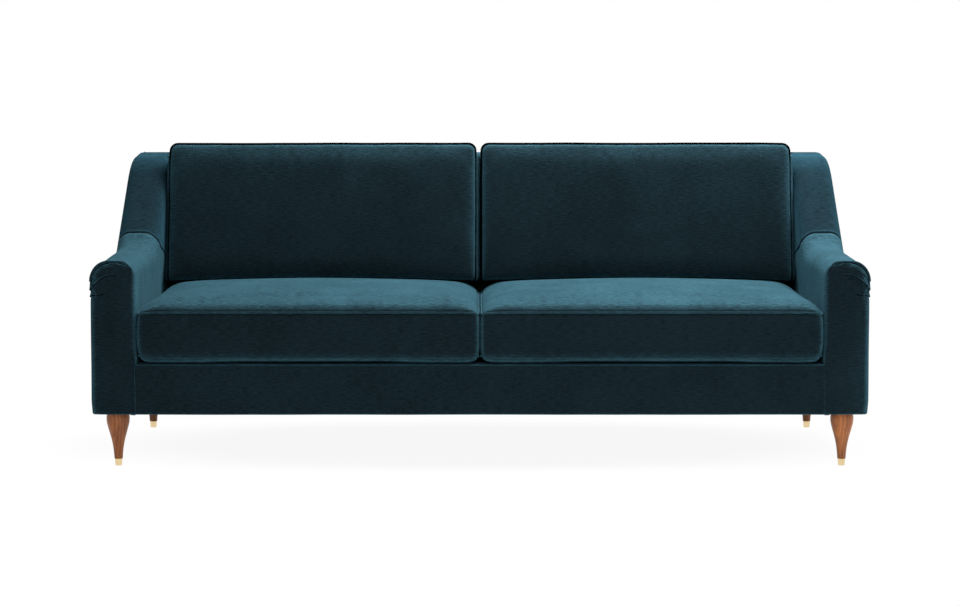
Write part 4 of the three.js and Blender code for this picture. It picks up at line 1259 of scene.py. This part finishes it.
    def section(self, y: float) -> tuple[Array, Array]:
        """The outline across the arm, from its inner foot over the top to its outer foot.

        Args:
            y: Distance from the arm front.

        Returns:
            Points as X and Z, and the outward direction at each.
        """
        top = float(self.crown(np.array([y]))[0])
        share = float(ramp(y, self.sweep_start, self.sweep_end - self.sweep_start))
        outer = self.outer_round + (self.wing_outer_round - self.outer_round) * share
        inner = self.inner_round + (self.wing_inner_round - self.inner_round) * share
        foot = SOFA.skirt + self.hem_roll
        coarse, fine = self.side_rows
        steps = np.r_[np.linspace(0, 0.72, coarse + 1)[:-1], np.linspace(0.72, 1, fine + 1)]
        turn = np.linspace(0, math.pi / 2, self.round_rows + 1)[1:]

        def lean_in(z: Array) -> Array:
            """How far the outer side leans in at a height."""
            above = np.clip(z - self.tuck_foot, 0, None)
            return self.tuck * np.sqrt(above / (SOFA.back_top - self.tuck_foot))

        inner_z = foot + (top - inner - foot) * steps
        outer_z = foot + (top - outer - foot) * steps
        outer_top = SOFA.half_width - float(lean_in(np.array([top - outer]))[0])
        inner_side = np.stack([np.full(len(steps), SOFA.inner), inner_z], 1)
        inner_arc = np.c_[SOFA.inner + inner * (1 - np.cos(turn)), top - inner + inner * np.sin(turn)]
        outer_side = np.stack([SOFA.half_width - lean_in(outer_z), outer_z], 1)
        outer_arc = np.c_[outer_top - outer * (1 - np.cos(turn)), top - outer + outer * np.sin(turn)]
        for part in (outer_side, outer_arc):
            part[:, 0] += self.puffed(y, part[:, 1])
        for part in (inner_side, inner_arc):
            part[:, 0] -= self.swollen(y, part[:, 1], top)
        left, right = inner_arc[-1], outer_arc[-1]
        share_along = np.linspace(0, 1, self.top_rows + 1)[1:-1, None]
        flat = left + (right - left) * share_along
        points = np.concatenate([inner_side, inner_arc, flat, outer_arc[::-1], outer_side[::-1]])
        facing = np.concatenate([
            np.tile([-1.0, 0.0], (len(steps), 1)),
            np.stack([-np.cos(turn), np.sin(turn)], 1),
            np.tile([0.0, 1.0], (len(flat), 1)),
            np.stack([np.cos(turn), np.sin(turn)], 1)[::-1],
            np.tile([1.0, 0.0], (len(steps), 1)),
        ])
        return points, facing

    def puffed(self, y: float, z: Array) -> Array:
        """How far the padding swells the outer side near the front."""
        band = np.interp(z, [SOFA.skirt, 0.19, 0.4, 0.48, 0.54], [0.4, 1.2, 1.1, 0.9, 0.9])
        return self.side_puff * math.exp(-y / 0.13) * band * ramp(self.height - z, 0, 0.05)

    def swollen(self, y: float, z: Array, top: float) -> Array:
        """How far the padding swells the inner side above the seat, beside the back cushion."""
        return self.inner_puff * ramp(z, 0.47, 0.07) * ramp(top - z, 0, 0.05) * float(ramp(y, 0.2, 0.3))

    def slant(self) -> Array:
        """How far behind its top the seam lies on each row."""
        outline, _ = self.section(self.seam)
        inner = outline[:, 0] < SOFA.inner + self.inner_round
        drop = np.where(inner, outline[:, 1].max() - outline[:, 1], 0)
        return self.seam_reach * np.tanh(self.seam_slant * drop**2 / self.seam_reach)

    def skin(self, stations: Array, pull: Array) -> tuple[Array, Array]:
        """Sections along the arm as a grid of points, with their outward directions.

        Args:
            stations: Distances of the sections from the arm front.
            pull: For each station, how much of the seam's slant it follows.

        Returns:
            Arrays of rows by stations by 3.
        """
        depth = stations[None, :] + self.slant()[:, None] * pull[None, :]
        known = np.linspace(0, SOFA.base_depth + SOFA.lean, 120)
        sections = [self.section(float(y)) for y in known]
        x = np.array([s[0][:, 0] for s in sections]).T
        z = np.array([s[0][:, 1] for s in sections]).T
        outward = sections[0][1]
        rows = range(len(depth))
        across = np.array([np.interp(depth[i], known, x[i]) for i in rows])
        height = np.array([np.interp(depth[i], known, z[i]) for i in rows])
        across_facing = np.c_[outward[:, 0], np.zeros(len(outward)), outward[:, 1]]
        return np.stack([across, depth, height], 2), np.repeat(across_facing[:, None], len(stations), 1)

    def with_hem(self, grid: Array) -> Array:
        """Turns the lower edges of a skin under the sofa.

        Args:
            grid: Rows of points from the inner foot to the outer foot.

        Returns:
            The same grid with more rows at both ends.
        """
        steps = [(0.3, 0.05), (0.65, 0.25), (0.9, 0.6), (1.0, 1.0)]
        hem: list[list[Array]] = [[], []]
        for end, (foot, above) in enumerate(((grid[0], grid[3]), (grid[-1], grid[-4]))):
            along = np.gradient(foot, axis=0)
            outward = np.cross(along, above - foot)
            outward[:, 2] = 0
            outward /= np.maximum(np.linalg.norm(outward, axis=1, keepdims=True), 1e-9)
            outward *= -1.0 if end == 0 else 1.0
            for down, inward in steps:
                hem[end].append(foot - outward * self.hem_roll * inward - [0, 0, self.hem_roll * down])
            hem[end].append(foot - outward * SOFA.flap - [0, 0, self.hem_roll])
        return np.concatenate([np.stack(hem[0][::-1]), grid, np.stack(hem[1])])

    def arm_cover(self) -> Piece:
        """The skin from the front panel back to the seam, with its pleats."""
        end = self.seam - self.seam_gap
        stations = np.r_[np.linspace(self.front_roll, 0.06, 14), np.linspace(0.067, end, 54)]
        pull = (np.clip(stations - self.straight, 0, None) / (self.seam - self.straight)) ** 1.5
        body, facing = self.skin(stations, pull)
        edge, outward = self.front_edge()
        upward = np.clip(outward[:, 2] * 1.6, 0, 1)
        upward = np.maximum(upward, (outward[:, 0] > -0.1) * ramp(edge[:, 2], 0.492, 0.03))
        low = (edge[:, 0] < SOFA.inner + 0.01) * ramp(SOFA.deck + 0.06 - edge[:, 2], 0, 0.06)
        roll = self.front_roll + (self.lip - self.front_roll) * np.maximum(upward, low)
        columns = []
        for angle in np.linspace(0, math.pi / 2, 9)[:-1]:
            point = edge - outward * (roll * (1 - math.sin(angle)))[:, None]
            point[:, 1] = roll * (1 - math.cos(angle))
            columns.append(point)
        rim = columns[0]
        spine = (rim + rim[::-1]) / 2
        panel = []
        for share in np.linspace(0, 1, 44)[:-1]:
            point = spine + (rim - spine) * share
            point[:, 1] -= self.panel_puff * (1 - share * share)
            panel.append(point)
        rolled = body[:, 0].copy()
        rolled[:, 1] = np.maximum(roll, 0.001)
        seam = self.seam_roll(body[:, -1], facing[:, -1], 1.0)
        grid = np.stack([*panel, *columns, rolled, *np.moveaxis(body[:, 1:], 1, 0), *seam], 1)
        piece = cloth_grid(f"arm_cover_{self.side.value}.cover", self.with_hem(grid))
        clean(piece)
        self.face_out(piece)
        self.crease(piece, rim)
        for pleat in self.pleats:
            self.fold(piece, pleat)
        # Near-black cords of painted shadow under the top two folds.
        for number, pleat in enumerate(self.pleats[:2], 1):
            self.fold_shadow_line(piece, pleat, number)
        self.gather(piece, body[:, -1], -1.0)
        points = coordinates(piece)
        points[:, 2] = np.maximum(points[:, 2], SOFA.skirt + 0.001)
        place_points(piece, points)
        return thicken(piece, SOFA.cloth)

    @staticmethod
    def turned_in(edge: Array, facing: Array, deep: float, reach: float) -> list[Array]:
        """Rows past a cover's edge, which roll it over by a reach along the arm and a depth inwards."""
        rows = []
        for angle in np.linspace(0, math.pi / 2, 5)[1:]:
            row = edge - facing * (deep * (1 - math.cos(angle)))
            row[:, 1] += reach * math.sin(angle)
            rows.append(row)
        return rows

    def seam_roll(self, edge: Array, facing: Array, way: float) -> list[Array]:
        """The edge of a cover where it turns in at a seam.

        Args:
            edge: Points along the edge.
            facing: Outward directions there.
            way: 1 where the cover ends towards the rear, -1 towards the front.

        Returns:
            Rows of points past the edge.
        """
        tucked = edge - facing * self.seam_tuck[0]
        tucked[:, 1] += way * self.seam_tuck[1]
        return [*self.turned_in(edge, facing, self.seam_turn[0], way * self.seam_turn[1]), tucked]

    def wing_cover(self) -> Piece:
        """The skin from the seam up to the top of the back, turned in at its rear edge."""
        last = SOFA.base_depth + SOFA.lean - SOFA.cloth
        first = self.seam + self.seam_gap
        stations = np.r_[np.linspace(first, 0.75, 34), np.linspace(0.757, last - 0.006, 26)]
        body, facing = self.skin(stations, (last - stations) / (last - self.seam))
        front = self.seam_roll(body[:, 0], facing[:, 0], -1.0)
        rear = self.turned_in(body[:, -1], facing[:, -1], self.rear_turn, self.rear_turn)
        grid = np.stack([*front[::-1], *np.moveaxis(body, 1, 0), *rear], 1)
        start = (self.seam + self.slant())[:, None]
        share = np.clip((grid[:, :, 1] - start) / (last - start), None, 1)
        end = SOFA.rear_y(grid[:, :, 2]) - SOFA.cloth
        grid[:, :, 1] += np.clip(share, 0, None) * (end - last)
        piece = cloth_grid(f"wing_cover_{self.side.value}.cover", self.with_hem(grid))
        clean(piece)
        self.face_out(piece)
        self.gather(piece, body[:, 0], 1.0)
        return thicken(piece, SOFA.cloth)

    def face_out(self, piece: Piece) -> None:
        """Turns an open skin's faces away from the arm's middle."""
        mesh = piece.data
        middle = SOFA.inner + SOFA.arm_width / 2
        if sum(p.normal.x * (p.center.x - middle) * p.area for p in mesh.polygons) < 0:
            mesh.flip_normals()

    def crease(self, piece: Piece, rim: Array) -> None:
        """Sinks the sewn edge round the top of the arm's front, and swells the cloth on both sides of it."""
        points, outward = coordinates(piece), normals(piece)
        near = np.flatnonzero((points[:, 1] < 0.08) & (points[:, 2] > 0.45))
        away, at = nearest(points[near], rim)
        strength = ramp(rim[at][:, 2], 0.515, 0.025) * ramp(rim[at][:, 0], SOFA.inner + 0.02, 0.012)
        behind = points[near, 1] > rim[at][:, 1] + 0.0002
        depth, width = self.stitched
        (high, far), (low, close) = self.swell_behind, self.swell_before
        ridge = np.where(behind, high * np.exp(-away / far), low * np.exp(-away / close))
        lift = ridge * (1 - bell(away, 0.0024)) - depth * bell(away, width)
        points[near] += outward[near] * (strength * lift)[:, None]
        upper = rim[(rim[:, 2] > 0.525) & (rim[:, 0] > SOFA.inner + 0.012)]
        below, _ = nearest(points[near], upper)
        height, start, end = self.brow
        roll = height * (1 - bell(below, start)) * bell(below, end)
        roll *= ramp(points[near, 0], SOFA.inner + 0.004, 0.06) ** 2
        points[near, 1] -= roll * ~behind * (points[near, 1] < 0.002)
        uneven, length = self.waviness
        points += outward * (uneven * ripple(points, length, 4.0 + self.side.sign))[:, None]
        place_points(piece, points)

    def fold(self, piece: Piece, pleat: Pleat) -> None:
        """Raises a fold that fans out from the outer edge of the arm's front."""
        line, fade = pleat.line()
        points, outward = coordinates(piece), normals(piece)
        near = np.flatnonzero((points[:, 1] < 0.12) & (points[:, 2] > 0.42))
        gap = points[near][:, None, [0, 2]] - line[None, :, :]
        away = np.linalg.norm(gap, axis=2)
        index = away.argmin(1)
        along = np.gradient(line, axis=0)
        along /= np.linalg.norm(along, axis=1, keepdims=True)
        across = np.stack([along[:, 1], -along[:, 0]], 1)
        across *= -np.sign(across[:, 1:2])
        offset = np.take_along_axis(gap, index[:, None, None], 1)[:, 0]
        below = (offset * across[index]).sum(1)
        beyond = np.sqrt(np.maximum(away.min(1) ** 2 - below**2, 0))
        strength = fade[index] * bell(beyond, 0.006)
        under = bell(below, 0.0011)  # the fold's steep lower side
        crest = np.where(below <= 0, np.exp(below / pleat.reach), under)
        trough = np.where(below > 0, (1 - under) * np.exp(-below / 0.005), 0.0)
        deep = np.exp(-np.clip(points[near, 1] - 0.02, 0, None) / 0.03)
        points[near] += outward[near] * (strength * deep * pleat.height * (crest - 0.45 * trough))[:, None]
        place_points(piece, points)

    def fold_shadow_line(self, piece: Piece, pleat: Pleat, number: int) -> None:
        """A near-black cord of painted shadow under a fold, laid on the finished skin.

        Args:
            piece: The arm's skin, with its folds.
            pleat: The fold.
            number: Its number from the top.
        """
        line, fade = pleat.line()
        points, outward = coordinates(piece), normals(piece)
        front = np.flatnonzero(points[:, 1] < 0.03)
        wanted = np.stack([line[:, 0], np.zeros(len(line)), line[:, 1] - 0.0019], 1)[fade > 0.12][::4]
        _, at = nearest(wanted, points[front])
        laid = points[front][at] + outward[front][at] * 0.0002
        self.lay_shade_cord(f"arm_tuck_{number}", even_out(laid, 2, mode="edge"), 0.0014, sides=3)

    def gather(self, piece: Piece, seam: Array, way: float) -> None:
        """Gathers the cloth slightly at the seam across the arm."""
        height, spacing, reach = self.gathers
        points, outward = coordinates(piece), normals(piece)
        near = np.flatnonzero((points[:, 1] > self.seam - 0.06) & (points[:, 2] > 0.4))
        away, _ = nearest(points[near], seam)
        within = away < 0.05
        near, away = near[within], away[within]
        wave = height * ripple(points[near] * [1.0, 0.0, 1.0], spacing, 7.0 + way)
        points[near] += outward[near] * (wave * np.exp(-away / reach))[:, None]
        place_points(piece, points)


# Tight back


@dataclass
class TightBack:
    """The fixed back: a padded inside that rolls over the top, and a flat outside."""

    top_round: float = 0.025
    rear_round: float = 0.005
    edge: float = 0.0003
    outside_round: float = 0.026
    tuck: float = 0.009
    tuck_foot: float = 0.496
    tucked: float = 0.02  # cloth pushed down between the back and the wings
    sewn: Pair = (0.0012, 0.006)  # depth of the hand-sewn line, and its distance from the edge
    inside_humps: Humps = Humps(0.0008, 0.14, 9.0)
    outside_humps: Humps = Humps(0.0009, 0.17, 13.0)
    swell: float = 0.0022  # how far each panel stands out in its middle
    columns: int = 150
    outside_columns: int = 121

    def build(self) -> None:
        """Makes the inside and the outside."""
        self.inside()
        self.outside()

    def inside(self) -> None:
        """Velvet over the inside of the back, its top, and down to the outside's edge."""
        top, r = SOFA.back_top, self.rear_round
        centre_z = top - self.top_round
        centre_y = SOFA.inside_y(centre_z, self.top_round)
        rear = SOFA.base_depth + SOFA.lean - 0.0028
        path = [(SOFA.inside_y(z), z) for z in np.linspace(SOFA.deck + 0.0003, centre_z - 0.01, 56)]
        path += arc((centre_y, centre_z), self.top_round, math.pi - SOFA.back_rake, math.pi / 2, 14)
        path += [(y, top) for y in np.linspace(path[-1][0] + 0.006, rear - r, 10)]
        path += arc((rear - r, top - r), r, math.pi / 2 - 0.3, 0.0, 4)
        half = SOFA.inner - self.edge
        ends = half + np.array([self.tucked / 2, self.tucked])
        across = np.r_[-ends[::-1], np.linspace(-half, half, self.columns), ends]

        def relief(points: Array) -> Array:
            """Humps in the middle, and sides that sink between the back and the wings."""
            side = np.abs(points[:, 0])
            edge = ramp(half - side, 0, 0.05)
            sunk = np.interp(side - half, [0, self.tucked / 2, self.tucked], [0, 0.004, 0.014])
            return self.swell * (edge - 1) - sunk + self.inside_humps.at(points) * edge

        nodes = ["inside_back_cover", "back_padding"]
        sew_cover(nodes, drawn_across(path, across), (0.0, -1.0, 0.0), relief, SOFA.cloth)

    def outline(self) -> Array:
        """Half of the outside's edge as X and height up the panel, from its foot to the top."""
        top, r, half = SOFA.back_top, self.outside_round, SOFA.half_width
        side = [(half, z) for z in np.linspace(SOFA.skirt + 0.001, 0.49, 40)]
        slope = self.tuck / (top - self.tuck_foot)
        lean = [(half - slope * (z - self.tuck_foot), z) for z in np.linspace(0.498, top - r, 34)]
        return np.array(side + lean + arc((lean[-1][0] - r, top - r), r, 0.0, math.pi / 2, 16))

    def outside(self) -> None:
        """The rear panel, sewn down by hand all round."""
        share = np.sin(np.linspace(-1, 1, self.outside_columns) * math.pi / 2)
        still = np.zeros(len(share))
        grid = np.stack([np.stack([x * share, still, still + z], 1) for x, z in self.outline()])
        grid = np.concatenate([grid, grid[-1:]])
        x, z = grid[:, :, 0], grid[:, :, 2]
        to_side = np.maximum(np.abs(x[:, -1:]), 1e-6) - np.abs(x)
        to_end = np.minimum(z - SOFA.skirt, SOFA.back_top - z)
        near = np.minimum(to_side, np.maximum(to_end, 0))
        depth, inset = self.sewn
        puff = self.swell * (1 - np.exp(-near / 0.01)) - depth * bell(near - inset, 0.003)
        grid[:, :, 1] = ARM_FRONT_Y + SOFA.rear_y(z) - SOFA.cloth + puff
        sew_cover(["outside_back_cover"], grid, (0.0, 1.0, 0.0), self.outside_humps.at, SOFA.thin_cloth)


# Seat platform


@dataclass
class SeatBase:
    """Front border, deck and dust cover."""

    roll: float = 0.006
    lower_roll: float = 0.005
    border_flap: float = 0.07
    border_lap: float = 0.0055  # how far it reaches over the inner edges of the arm fronts
    turn_in: float = 0.016  # cloth of the border turned in at its sides
    deck_rear: float = 0.84
    border_humps: Humps = Humps(0.0006, 0.13, 21.0)
    deck_humps: Humps = Humps(0.0004, 0.12, 31.0)
    dust_humps: Humps = Humps(0.0002, 0.09, 41.0)
    columns: int = 240

    def build(self) -> None:
        """Makes the border, the deck and the dust cover."""
        self.border()
        self.deck()
        self.dust_cover()

    def border(self) -> None:
        """Velvet across the front rail, turned under below and over the deck above."""
        foot, top, r, low = SOFA.skirt, SOFA.deck, self.roll, self.lower_roll
        path = [(SOFA.flap, foot + 0.0008), (0.009, foot + 0.0002)]
        path += arc((low, foot + low), low, -math.pi / 2 - 0.2, -math.pi, 5)
        path += [(0.0, z) for z in np.linspace(foot + 0.01, top - r - 0.002, 34)]
        path += arc((r, top - r), r, math.pi, math.pi / 2, 7)
        path += [(y, top) for y in np.linspace(r + 0.005, self.border_flap - 0.002, 12)]
        path += [(self.border_flap, top - 0.0012)]
        half = SOFA.inner + self.border_lap
        last = math.pi / 2 * 0.98
        across = half * np.sin(np.linspace(-last, last, self.columns)) / math.sin(last)
        grid = drawn_across(path, across)
        back = [0.0, self.turn_in, 0.0]
        grid = np.concatenate([grid[:, :1] + back, grid, grid[:, -1:] + back], 1)

        def relief(points: Array) -> Array:
            """Humps, and a dip where the border meets the arms."""
            return self.border_humps.at(points) - 0.0008 * bell(half - np.abs(points[:, 0]), 0.002)

        nodes = ["front_border_cover", "front_border_padding"]
        sew_cover(nodes, grid, (0.0, -1.0, 0.0), relief, SOFA.thin_cloth)

    def deck(self) -> None:
        """Lining cloth over the seat platform, with a stitched seam against the velvet."""
        half, run = SOFA.inner - 0.0003, self.deck_rear - self.border_flap
        xs, ys = np.linspace(-half, half, 130), np.linspace(self.border_flap + 0.0003, self.deck_rear, 90)
        x, y = np.meshgrid(xs, ys + ARM_FRONT_Y)
        grid = np.stack([x, y, np.full_like(x, SOFA.deck)], 2)

        def relief(points: Array) -> Array:
            """The pad's low crown, and its humps."""
            share_x, share_y = points[:, 0] / half, (points[:, 1] - ARM_FRONT_Y - self.border_flap) / run
            middle = np.clip((1 - share_x**2) * share_y * (1 - share_y) * 4, 0, 1)
            return -0.0012 + 0.0010 * middle + self.deck_humps.at(points)

        nodes = ["deck_cover", "deck_pad"]
        sew_cover(nodes, grid, (0.0, 0.0, 1.0), relief, 0.0016, PLATFORM)

    def dust_cover(self) -> None:
        """Black cambric tacked under the frame."""
        low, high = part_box("dust_cover")
        extent, middle = high - low, (low + high) / 2
        deselect()
        bpy.ops.mesh.primitive_grid_add(x_subdivisions=120, y_subdivisions=50, size=1.0)
        piece = bpy.context.active_object
        piece.scale = (extent.x - 0.002, extent.y - 0.002, 1.0)
        piece.location = middle
        settle(piece, "dust_cover.cloth")
        points = coordinates(piece)
        to_end = np.minimum(points[:, 1] - low.y, high.y - points[:, 1])
        sag = ramp(np.minimum(high.x - np.abs(points[:, 0]), to_end), 0.03, 0.2)
        points[:, 2] += self.dust_humps.at(points) * sag
        place_points(piece, points)
        thicken(piece, 0.0006)
        clean(piece)
        smooth(piece)
        finish_piece(piece, "frame", CAMBRIC, ["dust_cover"])


# Legs


@dataclass
class TurnedLeg:
    """A turned leg in its brass ferrule."""

    side: Side
    front: bool
    radius: float = 0.0333
    ferrule_height: float = 0.02
    ferrule_foot: float = 0.0093
    ferrule_mouth: float = 0.0107
    top: float = 0.1517
    steps: int = 72
    inset: float = 0.064  # of its axis from the side
    setback: float = 0.06  # of its axis from the front or rear
    shares: tuple[Pair, ...] = (  # height, and radius there, from the ferrule to the top
        (0.0, 0.355), (0.14, 0.39), (0.3, 0.475), (0.43, 0.58), (0.57, 0.735), (0.7, 0.885),
        (0.79, 0.968), (0.87, 1.0), (0.94, 0.98), (1.0, 0.93),
    )

    @property
    def label(self) -> str:
        """Which leg this is, as the CAD names it."""
        return f"{'front' if self.front else 'rear'}_{self.side.value}"

    @property
    def axis(self) -> Pair:
        """X and Y of the leg's axis."""
        y = self.setback if self.front else SOFA.base_depth - self.setback
        return self.side.sign * (SOFA.half_width - self.inset), ARM_FRONT_Y + y

    def build(self) -> None:
        """Makes the leg with its tenon and the bolt's hole, and the ferrule's cup."""
        foot, top = self.ferrule_height + 0.0003, self.top
        share = np.linspace(0, 1, 60)
        heights, wide = np.array(self.shares).T
        radii = np.interp(share, heights, wide)[:, None] * self.radius
        radii = even_out(radii, 4, mode="reflect", reflect_type="odd")[:, 0]
        tenon, hole = (0.0076, 0.012), (0.0043, 0.028)
        wood = [(0.0, foot - tenon[1]), (tenon[0], foot - tenon[1]), (tenon[0] + 0.0002, foot)]
        wood += [(radii[0] - 0.0008, foot), *zip(radii, foot + share * (top - foot))]
        wood += [(radii[-1] - 0.001, top)]
        wood += [(hole[0], top), (hole[0], top - hole[1]), (0.0, top - hole[1])]
        leg = self.spin(f"leg_{self.label}.turned", wood)
        finish_piece(leg, "frame", WALNUT, [f"leg_{self.label}"])
        outer, mouth, height = self.ferrule_foot, self.ferrule_mouth, self.ferrule_height
        wall, floor = 0.0012, 0.002
        cup = [
            (0.0, 0.0), (outer - 0.0009, 0.0), (outer - 0.0003, 0.0003), (outer, 0.001),
            (mouth, height - 0.0006), (mouth - 0.0004, height), (outer - wall, height),
            (outer - wall, floor), (0.0, floor),
        ]
        ferrule = self.spin(f"ferrule_{self.label}.spun", cup)
        finish_piece(ferrule, "frame", BRASS, [f"ferrule_{self.label}"])

    def spin(self, name: str, profile: Sequence[Pair]) -> Piece:
        """Spins a profile about the leg's axis.

        Args:
            name: The piece's name.
            profile: Radius and height of its points, from the axis round to the axis.

        Returns:
            The piece, closed.
        """
        deselect()
        bpy.ops.mesh.primitive_circle_add(vertices=len(profile), radius=0.1)
        piece = bpy.context.active_object
        x, y = self.axis
        for vertex, (radius, height) in zip(piece.data.vertices, profile):
            vertex.co = (x + radius, y, height)

        def work(edit: bmesh.types.BMesh) -> None:
            """Opens the circle at the axis, and spins it."""
            edit.verts.ensure_lookup_table()
            closing = [e for e in edit.edges if {v.index for v in e.verts} == {0, len(profile) - 1}]
            bmesh.ops.delete(edit, geom=closing, context="EDGES_FACES")
            bmesh.update_edit_mesh(piece.data)
            bpy.ops.mesh.select_all(action="SELECT")
            bpy.ops.mesh.spin(steps=self.steps, angle=math.tau, center=(x, y, 0.0), axis=(0.0, 0.0, 1.0))

        in_edit_mode(piece, work)
        settle(piece, name)
        clean(piece)
        return smooth(piece, math.radians(35.0))


# What the covers hide


@dataclass
class BackStraps:
    """Elastic webbing woven across one half of the back."""

    side: Side
    width: float = 0.05
    thickness: float = 0.002
    thickness: float = 0.002
    wave: float = 0.0012  # how far a strap rises over the others, and dips under them
    uprights: int = 5
    crossings: int = 2

    def build(self) -> None:
        """Makes one net of straps that pass over and under each other."""
        node = f"back_webbing_{self.side.value}"
        low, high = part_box(node)
        span = (high.x - low.x - self.width) / (self.uprights - 1)
        height = (high.z - low.z) / math.cos(SOFA.back_rake)
        straps: list[Piece] = []
        for i in range(self.uprights):
            x = low.x + span * i
            straps.append(self.strap((x, 0.0), (x + self.width, height), i % 2 * 2 - 1, upright=True))
        for j in range(1, self.crossings + 1):
            y = height * j / (self.crossings + 1) - self.width / 2
            straps.append(self.strap((low.x, y), (high.x, y + self.width), j % 2 * 2 - 1, upright=False))
        deselect()
        for strap in straps:
            strap.select_set(True)
        bpy.context.view_layer.objects.active = straps[0]
        bpy.ops.object.join()
        net = call(bpy.context.active_object, f"{node}.straps")
        foot = low.z + 0.001
        turn = Matrix.Rotation(math.pi / 2 - SOFA.back_rake, 4, "X")
        behind = SOFA.inside_y(foot, 0.0321)  # behind the padding of the inside
        net.matrix_world = Matrix.Translation((0.0, ARM_FRONT_Y + behind, foot)) @ turn
        settle(net, net.name)
        smooth(net)
        finish_piece(net, "frame", STRAPS, [node])

    def strap(self, start: Pair, end: Pair, first: int, upright: bool) -> Piece:
        """One strap, flat but for its waves over and under the others.

        Args:
            start: Its lowest corner, before the net is turned upright.
            end: Its highest corner.
            first: 1 where it begins over the others, -1 where it begins under them.
            upright: Whether it runs up the back.

        Returns:
            The strap.
        """
        cuts = (4, 60) if upright else (60, 4)
        extent = [b - a for a, b in zip(start, end)]
        deselect()
        bpy.ops.mesh.primitive_grid_add(x_subdivisions=cuts[0], y_subdivisions=cuts[1], size=1.0)
        piece = bpy.context.active_object
        piece.scale = (*extent, 1.0)
        piece.location = ((start[0] + end[0]) / 2, (start[1] + end[1]) / 2, 0.0)
        settle(piece, "strap")
        points = coordinates(piece)
        way = int(upright)
        waves = (self.crossings + 1) if upright else self.uprights
        along = (points[:, way] - start[way]) / extent[way]
        points[:, 2] += self.wave * first * np.cos(along * waves * math.pi)
        place_points(piece, points)
        layer = piece.data.uv_layers[0]
        layer.name = "cloth"
        for loop in piece.data.loops:
            x, y, _ = points[loop.vertex_index]
            layer.data[loop.index].uv = (x, y) if upright else (y, x)
        thicken(piece, self.thickness * 0.6)
        return piece


@dataclass
class BareFrame:
    """Rails, posts, boards, springs and bolts, which keep their CAD shapes."""

    nodes: dict[str, Piece]
    lengthwise: tuple[str, ...] = ("front_seat_rail", "rear_seat_rail", "top_back_rail", "lower_back_rail")
    front_to_back: tuple[str, ...] = ("side_seat", "centre_stretcher", "corner_block", "arm_")

    def dress(self) -> None:
        """Gives each node that stays its real finish."""
        for name, node in self.nodes.items():
            if node.hide_render:
                continue
            for slot in node.material_slots:
                slot.material = self.finish_of(name).material()

    def finish_of(self, name: str) -> Finish:
        """The finish of a node: steel, or beech with its grain along the piece."""
        if name.startswith("seat_springs"):
            return SPRING
        if name.startswith("hanger_bolt"):
            return ZINC
        if name in self.lengthwise:
            return BEECH
        flat = name.startswith(self.front_to_back) and "post" not in name
        along = Axis.ALONG_Y if flat else Axis.ALONG_Z
        return replace(BEECH, name=f"{BEECH.name}_{along.name.lower()}", grain=along)


def main() -> None:
    """Builds the studio and every sub-assembly."""
    logging.basicConfig(level=logging.INFO, format="%(message)s")
    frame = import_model()
    Studio().build()
    for side in Side:
        seat_cushion(side).build()
        back_cushion(side).build()
        SlopedArm(side).build()
        BackStraps(side).build()
        for front in (True, False):
            TurnedLeg(side, front).build()
    TightBack().build()
    SeatBase().build()
    BareFrame(frame["nodes"]).dress()


if __name__ == "__main__":
    main()
